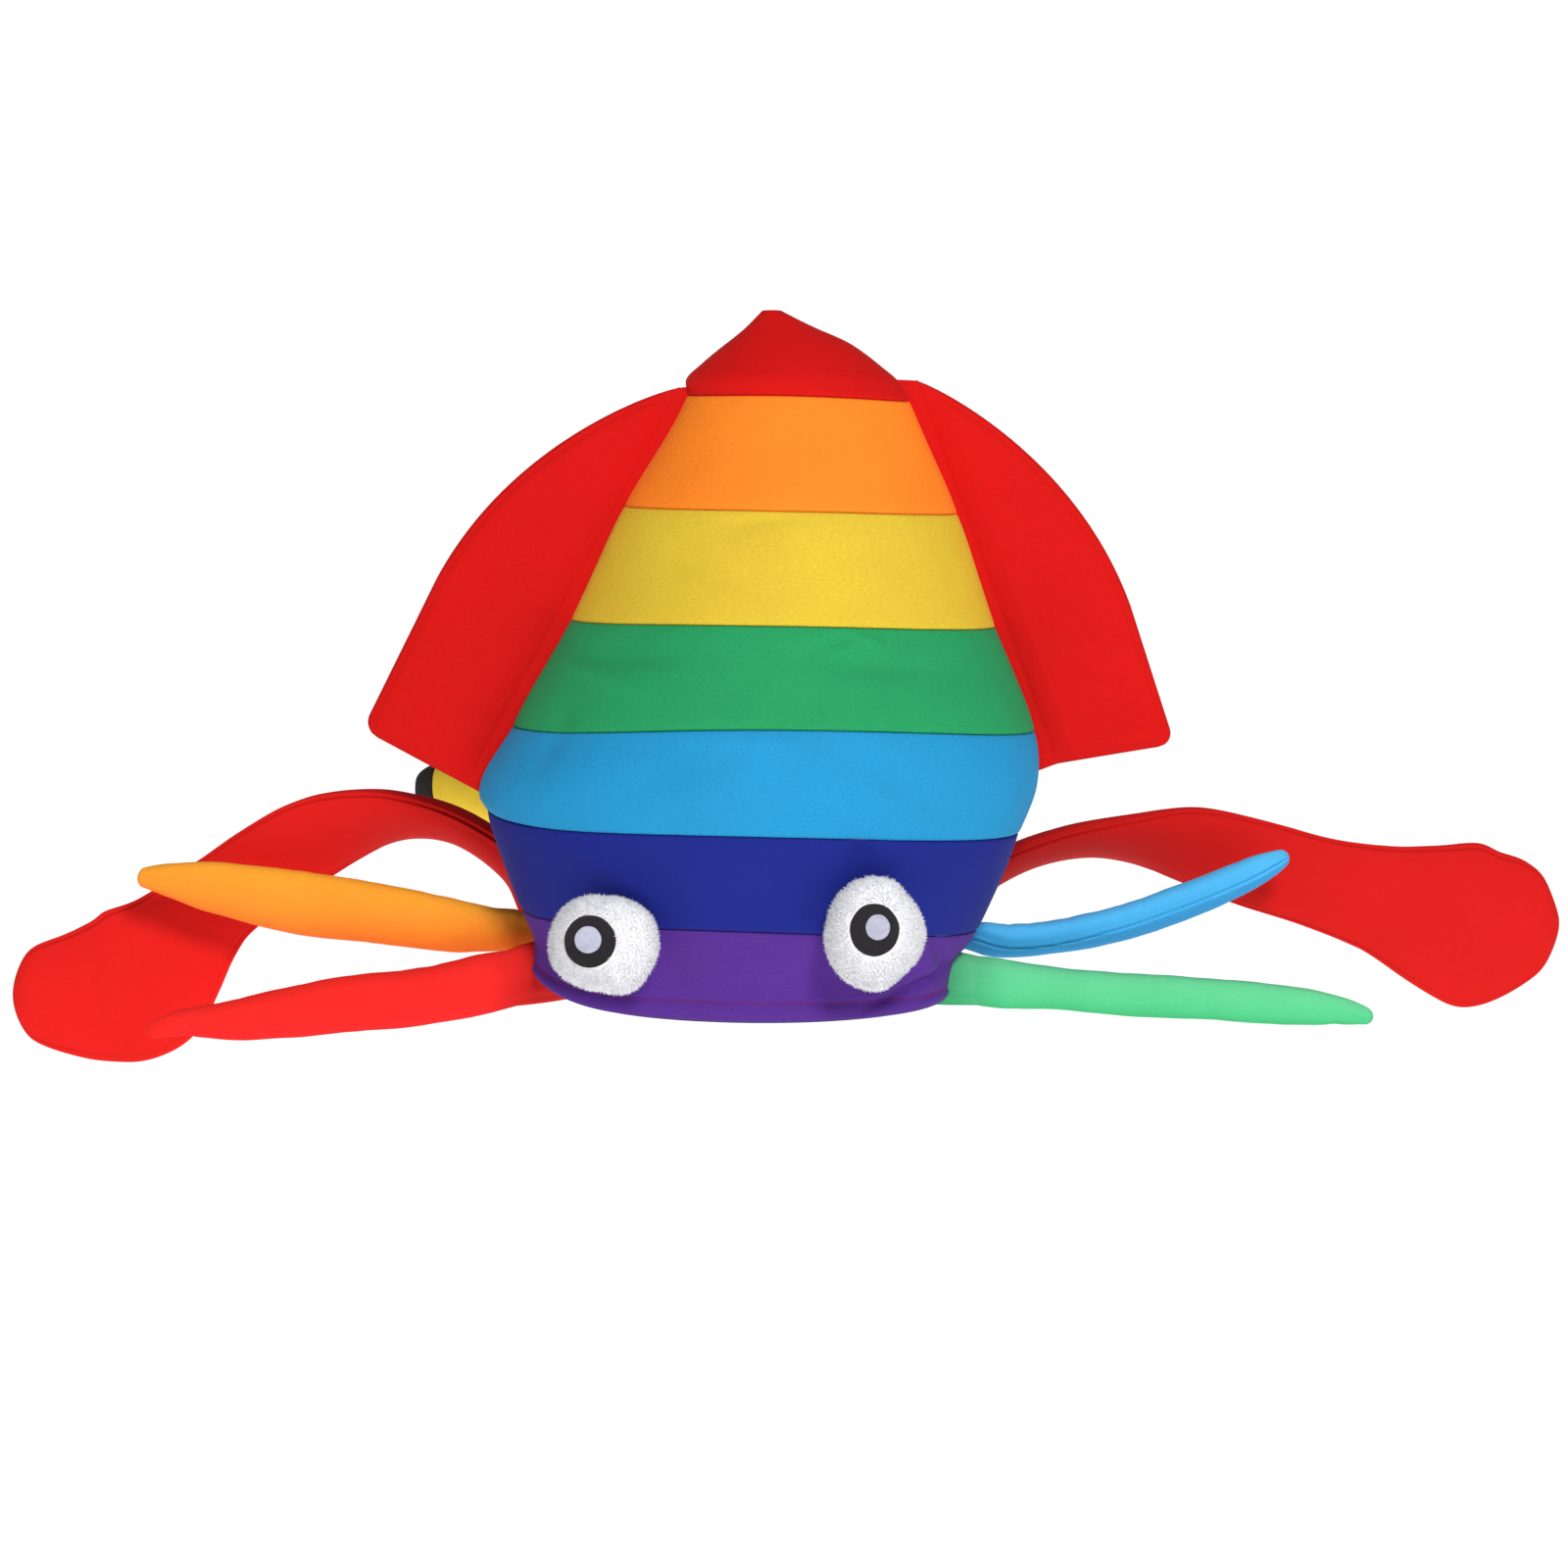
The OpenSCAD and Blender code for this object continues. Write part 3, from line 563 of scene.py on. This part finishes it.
def fin_width(s, low):
    """Width of a fin at distance s down its hinge line."""
    turn = np.arccos(np.clip(1 - s / FIN_ARC, -1, 1))
    rounded = FIN_W * np.sin(np.minimum(turn, math.pi / 2)) ** FIN_BULGE
    straight = FIN_W + (FIN_LOW_W - FIN_W) * (s - FIN_ARC) / (low - FIN_ARC)
    width = np.where(s < FIN_ARC, rounded, straight)
    near = np.clip((s - (low - FIN_CORNER)) / FIN_CORNER, 0, 1)
    return width - FIN_CORNER * (1 - np.sqrt(1 - near ** 2))


def fin(name):
    """A flat padded fin, sewn to the mantle's side seam."""
    top, bottom, low, side, slant = FINS[name]
    top = np.array([top[0], 0, top[1]], float)
    bottom = np.array([bottom[0], 0, bottom[1]], float)
    down = unit(bottom - top)
    out = np.array([-down[2], 0, down[0]])
    out *= np.sign(out[0]) * side
    # the mantle's seam edge, seen from the hinge line
    heights = np.linspace(40, MANTLE_H - 2, 400)
    seam = mantle(heights, 180.0 if side < 0 else 0.0, -1)
    seam_s, seam_w = (seam - top) @ down, (seam - top) @ out
    order = np.argsort(seam_s)
    rows, cols = 150, 64
    v = eased(cols, 0.45)
    s0 = eased(rows, 0.4) * low
    root = np.interp(s0, seam_s[order], seam_w[order]) - 1.2
    width = np.maximum(fin_width(s0, low), 0.6)
    root = np.minimum(root, width - 1)
    w = root[:, None] + (width - root)[:, None] * v[None, :]
    s = s0[:, None] - slant * (1 - np.clip(w / FIN_LOW_W, 0, 1)) * (s0 / low)[:, None] ** 6
    s = s + (0.7 if side < 0 else 0.42) * np.minimum(w, 0) * np.exp(-s / 14)
    flat = top + s[..., None] * down + w[..., None] * out
    # distance to the outer and lower edges, where the two covers are sewn together
    rim = np.concatenate([flat[:, -1], flat[-1, ::-1]])
    gap = np.min(np.linalg.norm(flat[:, :, None] - rim[None, None], axis=-1), axis=-1)
    half_thick, rounding = 5.2, 13
    round_off = np.sqrt(np.maximum(0, 1 - np.clip(1 - gap / rounding, 0, 1) ** 2))
    hinge = np.clip(w / 10, 0, 1)
    half = (half_thick * round_off) * (0.45 + 0.55 * hinge ** 0.7) + 0.15
    half -= 0.5 * np.exp(-((gap - 3.2) / 1.1) ** 2) * hinge
    bend = 1.6 * rolled(flat, 85, 5 + side) * np.clip(w / 30, 0, 1)
    bend += 0.7 * rolled(flat, 34, 15 + side) * np.clip(w / 20, 0, 1)
    faces_points = []
    for sign in (-1, 1):
        ripple = 0.35 * rolled(flat, 16, 31 + sign + side) * round_off
        pucker = 0.32 * np.sin(s / 2.3 + 2.5 * rolled(flat, 30, 4)) * np.exp(-w / 7) * hinge
        offset = sign * (half + pucker) + bend + ripple
        faces_points.append(flat + offset[..., None] * np.array([0, 1.0, 0]))
    uv = np.stack([s, w], -1).reshape(-1, 2)
    ob = make(name + "_pad", np.concatenate([p.reshape(-1, 3) for p in faces_points]),
              np.concatenate(sleeve_faces(rows, cols)), [KNIT["red"]], np.concatenate([uv, uv]))
    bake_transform(ob)
    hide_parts(name + "_cover", name + "_foam")


for fin_name in FINS:
    fin(fin_name)

# ---------- Limbs ----------

# x, y, z, width, thickness and twist, from the rim outwards, then the length of the tip
LIMBS = {
    "red_arm": ([
        [-113, -6, 10, 28, 14, 0], [-136, -11, 6, 32, 18, 0], [-165, -18, 1, 31, 20, 0],
        [-205, -26, -2, 30, 20, 0], [-235, -33, -5, 27, 18, 0], [-266, -39, -8, 21, 15, 0],
        [-292, -43, -9, 14, 11, 0], [-310, -46, -13, 8, 6, 0]], 3),
    "orange_arm": ([
        [-112, 20, 28.5, 25, 14, 0], [-134, 18, 30, 24, 16, 0], [-160, 15, 33.5, 30, 20, 0],
        [-197, 13, 40, 33, 21, 0], [-238, 11, 46, 34, 21, 0], [-279, 9, 54, 28, 17, 0],
        [-303, 8, 58, 19, 12, 0], [-322, 8, 60, 9, 6, 0]], 3),
    "yellow_arm": ([
        [-56.5, 79.5, 24, 24, 14, 0], [-69, 98, 41, 28, 17, 0], [-90, 116, 60, 32, 20, 0],
        [-119, 142, 74, 34, 20, 0], [-148, 170, 82, 34, 20, 0], [-168, 190, 82, 32, 19, 0],
        [-181, 204, 79, 26, 16, 0], [-187, 213, 76, 16, 11, 0]], 6),
    "green_arm": ([
        [117, -6, 7, 26, 14, 0], [134, -9, 6, 27, 17, 0], [150, -12, 5, 25, 18, 0],
        [172, -16, 4, 22, 17, 0], [208, -22, 2, 23, 17, 0], [250, -30, 1, 22, 16, 0],
        [290, -37, -1, 20, 14, 0], [315, -41, -3, 14, 10, 0], [332, -45, -6, 7, 6, 0]], 3),
    "blue_arm": ([
        [122.5, 21, 27, 24, 14, 40], [141, 18, 24, 25, 16, 55], [168, 17, 26, 28, 17, 65],
        [201, 15, 33, 30, 18, 65], [235, 13, 45, 30, 18, 65], [265, 11, 58, 25, 17, 65],
        [281, 10, 66, 18, 14, 65], [293, 10, 72, 8, 7, 65]], 3),
    "purple_arm": ([
        [60, 81.5, 23, 24, 14, 0], [62, 102, 34, 28, 18, 0], [68, 135, 42, 31, 20, 0],
        [75, 172, 43, 31, 20, 0], [82, 210, 37, 29, 19, 0], [88, 245, 26, 22, 15, 0],
        [92, 265, 18, 15, 11, 0], [94, 278, 12, 8, 6, 0]], 3),
    "left_tentacle": ([
        [-100, 48, 27, 24, 14, 0], [-110, 53, 37, 24, 15, 20], [-122, 57, 58, 28, 16, 50],
        [-150, 58, 78, 31, 16, 57], [-177, 55, 86, 39, 16, 52], [-205, 52, 84, 47, 16, 38],
        [-238, 47, 72, 49, 15, 15], [-277, 46, 46, 48, 15, 0], [-293, 45, 32, 54, 15, 0],
        [-307, 43, 16, 68, 15, 0], [-322, 42, 1, 84, 15, 0], [-337, 41, -7.5, 83, 15, 0],
        [-352, 41, -10, 76, 15, 0], [-366, 40, -10.5, 67, 15, 0], [-382, 39, -10, 55, 14, 0],
        [-396, 38, -10, 38, 12, 0]], 12),
    "right_tentacle": ([
        [112.5, 52, 25, 24, 14, 0], [119, 57, 33, 22, 15, 20], [127, 59, 48, 23, 15, 50],
        [152, 58, 63, 37, 15, 66], [182, 56, 72, 42, 15, 64], [212, 54, 74, 45, 16, 52],
        [244, 52, 71, 48, 16, 25], [279, 50, 61, 49, 15, 5], [313, 48, 51, 50, 15, 0],
        [345, 47, 42.5, 59, 15, 0], [372, 46, 34.5, 77, 15, 0], [394, 45, 28, 91, 16, 0],
        [409, 44, 26, 84, 16, 0], [423, 44, 28, 72, 15, 0], [435, 44, 29, 54, 14, 0],
        [445, 44, 29, 32, 12, 0]], 12),
}
# Where the seams run round a limb (degrees from its lower edge), how deep they are and how
# far they drift round it in the first part
LIMB_SEAMS = {
    "red_arm": ([15], 0.9), "orange_arm": ([-150], 0.8), "yellow_arm": ([10], 0.9),
    "green_arm": ([150], 0.8), "blue_arm": ([-118], 1.6, -20), "purple_arm": ([0], 0.9),
    "left_tentacle": ([27, 160], 2.2), "right_tentacle": ([-22, -160], 1.7)}
FLARED = ("red_arm", "green_arm")
TIP_CAP_L = 22
# Length of a limb's root that is reshaped to meet the mantle, and lengths that bend there
ROOT_L, BEND_ARM, BEND_TENTACLE = 9, 20, 26


def along(route, u):
    """Catmull-Rom rows of a route at shares u."""
    n = len(route) - 1
    padded_route = np.concatenate([2 * route[:1] - route[1:2], route,
                                   2 * route[-1:] - route[-2:-1]])
    i = np.minimum(n - 1, np.floor(u * n).astype(int))
    t = (u * n - i)[:, None]
    a, b, c, d = (padded_route[i + k] for k in range(4))
    return 0.5 * (2 * b + (c - a) * t + (2 * a - 5 * b + 4 * c - d) * t ** 2
                  + (3 * b - a - 3 * c + d) * t ** 3)


def inside_mantle(p, margin=0.0):
    """True for points that are at least margin millimetres inside the mantle.

    Below the rim the margin grows, so that a limb's lower edge reaches under the hem.
    """
    z = np.clip(p[..., 2] - 4, 0, MANTLE_H)
    lean = level(0, 3)
    rim = (-(p[..., 0] - lean) * math.tan(math.radians(level(0, 4))) + level(0, 6)
           + level(0, 7) * np.clip(-p[..., 0] / (RIM_W / 2), 0, 1) ** 6)
    margin = margin + 17 * np.clip((rim + 3 - p[..., 2]) / 7, 0, 1)
    half_w, half_d = level(z, 1) * WAIST_W / 2 - margin, level(z, 2) * WAIST_D / 2 - margin
    return (((p[..., 0] - level(z, 3)) / half_w) ** 2 + (abs(p[..., 1]) / half_d) ** 2) < 1


def smoothed(values, taps):
    """A running mean down the first axis, with the end values held."""
    held = np.pad(values, [(taps // 2, taps // 2)] + [(0, 0)] * (values.ndim - 1), mode="edge")
    return np.apply_along_axis(lambda v: np.convolve(v, np.ones(taps) / taps, "valid"), 0, held)


def limb_stations(total):
    """Distances along a limb for its rings, about 1.5 mm apart and closer at both ends."""
    s = 2.5 + (total - 2.6) * eased(int(total / 1.5), 0.25)
    tip_rings = 30
    end = total - (total - s[-tip_rings:]) * np.linspace(1, 0.15, tip_rings)
    return np.concatenate([s[:-tip_rings], end])


def seam_relief(name, s, total, turn, half_w, half_t):
    """Grooves of a limb's seams, with the cloth raised along both sides of each."""
    seams, depth, drift = (*LIMB_SEAMS[name], 0)[:3]
    drift = drift * np.clip((s - 25) / 50, 0, 1)[:, None]
    relief = np.zeros((len(s), len(turn)))
    for seam in seams:
        off = (np.degrees(turn) - seam - drift + 180) % 360 - 180
        run_off = np.radians(off) * (half_w[:, None] * abs(np.sin(math.radians(seam)))
                                     + half_t[:, None] * abs(np.cos(math.radians(seam))))
        relief -= depth * np.exp(-(run_off / 0.8) ** 2) * np.clip((total - s) / 5, 0, 1)[:, None]
        relief += 0.35 * depth * np.exp(-((abs(run_off) - 2.4) / 1.5) ** 2)
    return relief


def limb_root(base_ring, back, out, flared):
    """Rings that run from the mantle's seam to a limb's first ring."""
    sides = len(base_ring)
    # how far back each point goes until it is inside the mantle
    reach = np.zeros(sides)
    for step in np.arange(0, 45, 0.5):
        probe = base_ring + back * step
        reach = np.where(inside_mantle(probe, 1.6) | (reach < step - 0.6), reach, step)
    blur = sides // 12 + 1
    reach = np.minimum(reach, np.median(reach) + (26 if flared else 14))
    reach = np.convolve(np.tile(reach, 3), np.ones(blur) / blur, "same")[sides:2 * sides]
    ring_end = base_ring + back * reach[:, None]
    t = np.linspace(0, 1, 14, endpoint=False)[:, None, None]
    neckline = (1 + 0.12 * np.sin(math.pi / 2 * (1 - t)) if flared
                else 1 - 0.10 * np.sin(math.pi * t) - 0.04 * (1 - t))
    root = ring_end * (1 - t) + base_ring * t
    spine = ring_end.mean(0) * (1 - t) + base_ring.mean(0) * t
    return spine + (root - spine) * neckline + 0.3 * out[None] * (1 - t)


def limb(name):
    """Rings of points, UVs, centre line and its lengths of a stuffed limb."""
    route, tip = LIMBS[name]
    route = np.array(route, float)
    flat_limb, flared = "tentacle" in name, name in FLARED
    sides = 144 if flat_limb else 72
    fine = along(route, np.linspace(0, 1, 1601))
    length = arc(fine[:, :3], 0)
    total = length[-1]
    s = limb_stations(total)
    row = np.stack([np.interp(s, length, fine[:, c]) for c in range(6)], -1)
    centre = row[:, :3]
    forward = unit(smoothed(unit(np.gradient(centre, axis=0)), 51 if flat_limb else 9))
    go = route[-1, :3] - route[0, :3]
    flat = unit(np.array([-go[1], go[0], 0]))
    normal = unit(flat - forward * (forward @ flat)[:, None])
    wide = np.cross(normal, forward)
    twist = (np.radians(row[:, 5]) * np.sign(go[0]))[:, None]
    turn = np.linspace(0, 2 * math.pi, sides, endpoint=False)
    to_tip = np.clip((total - s) / tip, 0, 1)
    size = np.sqrt(to_tip * (2 - to_tip))
    at_root = np.exp(-(s / 8) ** 2)
    half_w = row[:, 3] / 2 * size * (1 - (0.0 if flared else 0.16) * at_root)
    half_t = row[:, 4] / 2 * size * (1 - 0.08 * at_root)
    # a little squarer than an ellipse, but a tentacle is thin along its two seams
    cos, sin = np.cos(turn), np.sin(turn)
    p = half_w[:, None] * np.sign(cos) * abs(cos) ** (0.92 if flat_limb else 0.95)
    q = half_t[:, None] * np.sign(sin) * abs(sin) ** (1.0 if flat_limb else 0.95)
    shell = (centre[:, None]
             + wide[:, None] * (p * np.cos(twist) - q * np.sin(twist))[..., None]
             + normal[:, None] * (p * np.sin(twist) + q * np.cos(twist))[..., None])
    if flat_limb:
        # evens out rows that would cross at the inside of a bend
        keep_end = np.clip((total - s) / 12, 0, 1)[:, None, None]
        shell = shell + (smoothed(shell, 5) - shell) * keep_end
    away = unit(shell - centre[:, None])
    seed = 3.7 * list(LIMBS).index(name)
    relief = 0.55 * rolled(shell, 26, seed) + 0.28 * rolled(shell, 11, seed + 5)
    if flat_limb:
        relief = 0.5 * relief
    else:
        # creases on the inside of a bend
        turning = np.gradient(forward, axis=0)
        bend = np.linalg.norm(turning, axis=1) / np.gradient(s)
        facing_in = np.clip(np.sum(away * unit(turning + 1e-9)[:, None], -1), 0, 1)
        relief -= (np.clip(bend * 60, 0, 1.2)[:, None] * facing_in
                   * np.clip(np.sin(s[:, None] / 2.6 + 3 * rolled(shell, 20, seed + 2)), 0, 1))
    relief += seam_relief(name, s, total, turn, half_w, half_t)
    relief += (0.6 * np.exp(-s / 13)[:, None] * np.sin(
        7 * turn[None, :] + 2 * rolled(shell, 15, seed + 9) + seed)
        + 0.45 * np.exp(-(total - s) / 9)[:, None] * np.sin(5 * turn[None, :] + seed))
    shell = shell + away * (relief * np.clip((total - s) / 6, 0, 1)[:, None])[..., None]
    # the root: fabric that runs on to the mantle and into its seam
    keep = int(np.searchsorted(s, ROOT_L))
    gathered = away[keep] * np.sin(8 * turn + seed)[:, None]
    root = limb_root(shell[keep], -forward[min(keep, 3)], gathered, flared)
    shell = np.concatenate([root, shell[keep:]])
    run = arc(shell, 0).mean(1)[:, None]
    around = (turn[None, :] / (2 * math.pi)) * (np.pi * (row[:, 3].mean() + row[:, 4].mean()) / 2)
    uv = np.stack([run + 0 * around, around + 0 * run], -1)
    return shell, uv, centre, s, total


def felt_tip(shell, uv, cut):
    """The separate felt cap on the yellow arm's end, a little larger than the arm."""
    cap = shell[cut - 2:].copy()
    mid = cap.mean(1, keepdims=True)
    grow = 1 + 0.9 / np.maximum(np.linalg.norm(cap - mid, axis=-1, keepdims=True), 3)
    cap = mid + (cap - mid) * grow
    cap[0] = mid[0] + (shell[cut - 2] - mid[0]) * 0.96
    ob = make("yellow_arm_felt_tip", cap.reshape(-1, 3), tube_faces(*cap.shape[:2]), [CHARCOAL],
              uv[cut - 2:].reshape(-1, 2), None, "yellow_arm")
    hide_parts("yellow_arm_tip_cap")


for limb_name in LIMBS:
    shell, uv, centre, s, total = limb(limb_name)
    if limb_name == "yellow_arm":
        cut = len(shell) - int(np.sum(s > total - TIP_CAP_L))
        felt_tip(shell, uv, cut)
        shell, uv = shell[:cut + 1], uv[:cut + 1]
    ob = make(limb_name + "_cloth", shell.reshape(-1, 3), tube_faces(*shell.shape[:2]),
              [ARM[limb_name]], uv.reshape(-1, 2))
    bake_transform(ob)
    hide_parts(limb_name + "_sleeve", limb_name + "_stuffing")

# ---------- Eyes ----------


# Half width of each eye in mm at angles in degrees from the right, fluff included
OUTLINES = {
    "left_eye": ([0, 30, 60, 90, 122, 150, 180, 206, 240, 270, 304, 330],
                 [29.1, 28.4, 25.6, 23.6, 26.6, 28.6, 29.5, 30.0, 26.3, 24.9, 29.6, 28.6]),
    "right_eye": ([0, 30, 52, 75, 110, 136, 165, 191, 216, 240, 275, 302, 333],
                  [25.4, 24.8, 25.4, 29.1, 29.2, 27.6, 26.0, 26.6, 27.8, 28.9, 29.6, 25.2, 25.0])}
FRONT_D, BACK_D = 17.0, 17.5
PILE, PILE_COUNT = 2.1, 15000
RING_R = 13.3
# Place of the ring on the ball, place of the pupil on the ring, pupil radius, how much
# wider than tall the felt is cut, then the eye's turn and upward tilt in degrees
EYES = {
    "left_eye": dict(ring=(-2.6, -0.2), dot=(-0.8, 0.8), dot_r=6.9, wide=1.03, turn=-16, tilt=12),
    "right_eye": dict(ring=(-0.3, 1.2), dot=(1.7, 1.3), dot_r=6.5, wide=0.94, turn=-3, tilt=12)}


def eye_frame(name):
    """Middle of an eye's CAD ball, and its axes."""
    lo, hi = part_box(f"{name}_plush")
    turn, tilt = (math.radians(EYES[name][k]) for k in ("turn", "tilt"))
    front = np.array([math.cos(tilt) * math.sin(turn), -math.cos(tilt) * math.cos(turn),
                      math.sin(tilt)])
    right = np.array([math.cos(turn), math.sin(turn), 0])
    return np.array((lo + hi) / 2) / MM, front, right, np.cross(front, right)


def ball_shape(name, az, el):
    """Cloth surface of an eye, from directions in its own axes (front, right, up)."""
    angles, radii = OUTLINES[name]
    f = np.sin(el)
    radius = np.interp(np.degrees(az) % 360, angles + [360], radii + radii[:1]) - PILE
    mean = np.mean(radii) - PILE
    radius = mean + (radius - mean) * np.cos(el)
    flat_front = FRONT_D - 2.2 * np.clip((f - 0.8) / 0.2, 0, 1) ** 2
    deep = np.where(f > 0, flat_front, BACK_D)
    across = np.cos(el) * radius
    return np.stack([f * deep, across * np.cos(az), across * np.sin(az)], -1)


def to_world(local, axes):
    """Points given along an eye's own axes, in the hat's frame."""
    middle, front, right, up = axes
    return (middle + local[..., :1] * front + local[..., 1:2] * right + local[..., 2:] * up)


def eye_ball(name, axes):
    """The stuffed ball, without its pile."""
    rows, cols = 72, 128
    el = np.linspace(-math.pi / 2, math.pi / 2, rows)[:, None]
    az = np.linspace(0, 2 * math.pi, cols, endpoint=False)[None, :]
    local = ball_shape(name, az + 0 * el, el + 0 * az)
    local = local * (1 + 0.010 * rolled(local, 9, 40)[..., None])
    ob = make(name + "_ball", to_world(local, axes).reshape(-1, 3),
              grid_faces(rows, cols, 0, True), [PLUSH], None, None, "hat")
    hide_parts(f"{name}_plush", f"{name}_stuffing")


def eye_pile(name, axes):
    """Short pile: thousands of soft tapering fibres that lean a little."""
    count, golden_angle = PILE_COUNT, 2.399963
    k = np.arange(count)
    f = 1 - 2 * (k + 0.5) / count
    el = np.arcsin(f)
    az = (k * golden_angle) % (2 * math.pi)
    az = az + RNG.uniform(-0.03, 0.03, count)
    root = ball_shape(name, az, el)
    ahead = ball_shape(name, az + 0.01, el)
    above = ball_shape(name, az, np.minimum(el + 0.01, math.pi / 2))
    normal = unit(np.cross(ahead - root, above - root))
    normal *= np.sign(np.sum(normal * root, -1, keepdims=True))
    # none under the felt ring or where the ball lies in the mantle
    ring_at, wide = EYES[name]["ring"], EYES[name]["wide"]
    ring_off = np.hypot((root[:, 1] - ring_at[0]) / wide, root[:, 2] - ring_at[1])
    keep = ((f < 0) | (ring_off > RING_R + 0.6)) & (f > -0.85)
    root, normal, count = root[keep], normal[keep], int(keep.sum())
    clump = np.stack([rolled(root, 5, 60 + c) for c in range(3)], -1)
    lean = unit(normal + 0.55 * clump + 0.42 * RNG.normal(size=(count, 3))
                + np.array([0, 0, -0.18]))
    long = RNG.uniform(1.7, 3.7, count)[:, None]
    curl = unit(lean + 0.5 * clump + 0.3 * RNG.normal(size=(count, 3)))
    line = np.stack([root - 0.4 * normal, root + lean * long * 0.55,
                     root + lean * long * 0.55 + curl * long * 0.45], 1)
    side_a = unit(np.cross(lean, RNG.normal(size=(count, 3))))
    side_b = np.cross(lean, side_a)
    thick = np.array([0.32, 0.2])[None, :, None]
    corners = []
    for c in range(3):
        ang = c * 2 * math.pi / 3
        corners.append(line[:, :2] + thick * (math.cos(ang) * side_a[:, None]
                                              + math.sin(ang) * side_b[:, None]))
    verts = np.concatenate([np.stack(corners, 2).reshape(count, 6, 3), line[:, 2:3]], 1)
    base = (np.arange(count) * 7)[:, None]
    quads = np.array([[0, 1, 4, 3], [1, 2, 5, 4], [2, 0, 3, 5]])
    tris = np.array([[3, 4, 6], [4, 5, 6], [5, 3, 6], [2, 1, 0]])
    q = (base[:, :, None] + quads[None]).reshape(-1, 4).tolist()
    t = (base[:, :, None] + tris[None]).reshape(-1, 3).tolist()
    fur = make(name + "_pile", to_world(verts.reshape(-1, 3), axes), q + t, [PLUSH], None,
               None, "hat")
    # fibres are lit as the soft surface that they make up
    soft = to_world(np.repeat(unit(normal + 0.35 * (lean - normal)), 7, 0), axes) - axes[0]
    fur.data.normals_split_custom_set_from_vertices(soft.tolist())


def disc(name, axes, off, outer, z0, thick, dome, wide, mat, cad):
    """A soft-edged felt disc on the front of an eye, domed in the middle."""
    edge = 0.35
    prof = [(0.01, z0), (0.01, z0 + thick + dome), (0.2, z0 + thick + dome),
            (outer * 0.5, z0 + thick + dome * 0.8)]
    for t in np.linspace(0, math.pi / 2, 5):
        prof.append((outer - edge + edge * math.sin(t), z0 + thick - edge + edge * math.cos(t)))
    prof.append((outer, z0))
    prof = np.array(prof)
    steps = 96
    turn = np.linspace(0, 2 * math.pi, steps, endpoint=False)
    wob = 1 + 0.006 * np.sin(3 * turn + z0) + 0.004 * np.sin(7 * turn)
    r = prof[:, :1] * wob[None]
    local = np.stack([np.repeat(prof[:, 1:], steps, 1),
                      r * np.cos(turn) * wide + off[0], r * np.sin(turn) + off[1]], -1)
    ob = make(name, to_world(local, axes).reshape(-1, 3), section_faces(len(prof), steps), [mat],
              None, None, "hat")
    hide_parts(cad)


for eye_name, felt in EYES.items():
    eye_axes = eye_frame(eye_name)
    eye_ball(eye_name, eye_axes)
    eye_pile(eye_name, eye_axes)
    disc(eye_name + "_ring", eye_axes, felt["ring"], RING_R, z0=14.2, thick=1.6, dome=0.15,
         wide=felt["wide"], mat=BLACK, cad=f"{eye_name}_iris")
    dot_at = (felt["ring"][0] + felt["dot"][0], felt["ring"][1] + felt["dot"][1])
    disc(eye_name + "_dot", eye_axes, dot_at, felt["dot_r"], z0=15.5, thick=0.9, dome=0.25,
         wide=felt["wide"], mat=GREY, cad=f"{eye_name}_pupil")

# ---------- Stage ----------

scene = bpy.context.scene
floor_mat = Nodes("floor")
floor_mat.shader.inputs["Base Color"].default_value = (0.92, 0.92, 0.92, 1)
floor_mat.shader.inputs["Roughness"].default_value = 0.9
floor_mat.shader.inputs["Emission Color"].default_value = (1, 1, 1, 1)
floor_mat.shader.inputs["Emission Strength"].default_value = 0.75
bpy.ops.mesh.primitive_plane_add(size=60, location=(0, 0, -0.42))
floor = bpy.context.object
floor.name = "floor"
floor.data.materials.append(floor_mat.mat)

# the camera sees plain white, and the hat gets a dimmer light from all round
world = bpy.data.worlds.new("studio")
scene.world = world
world.use_nodes = True
tree = world.node_tree
background = tree.nodes["Background"]
background.inputs["Color"].default_value = (1, 1, 1, 1)
background.inputs["Strength"].default_value = 0.27
white = tree.nodes.new("ShaderNodeBackground")
white.inputs["Color"].default_value = (1, 1, 1, 1)
white.inputs["Strength"].default_value = 1.0
mix = tree.nodes.new("ShaderNodeMixShader")
path = tree.nodes.new("ShaderNodeLightPath")
tree.links.new(path.outputs["Is Camera Ray"], mix.inputs["Fac"])
tree.links.new(background.outputs[0], mix.inputs[1])
tree.links.new(white.outputs[0], mix.inputs[2])
tree.links.new(mix.outputs[0], tree.nodes["World Output"].inputs["Surface"])


LIGHTS_AIM = Vector((0.02, 0, 0.12))


def area(name, spot, size, power):
    """A round soft light aimed at the hat."""
    data = bpy.data.lights.new(name, "AREA")
    data.shape = "DISK"
    data.size = size
    data.energy = power
    ob = bpy.data.objects.new(name, data)
    scene.collection.objects.link(ob)
    ob.location = spot
    ob.rotation_mode = "QUATERNION"
    ob.rotation_quaternion = (LIGHTS_AIM - Vector(spot)).to_track_quat("-Z", "Y")


area("key", (0.5, -1.9, 1.4), 0.6, 36)
area("fill", (-1.4, -1.8, 0.6), 1.4, 2)
scene.view_settings.view_transform = "Standard"
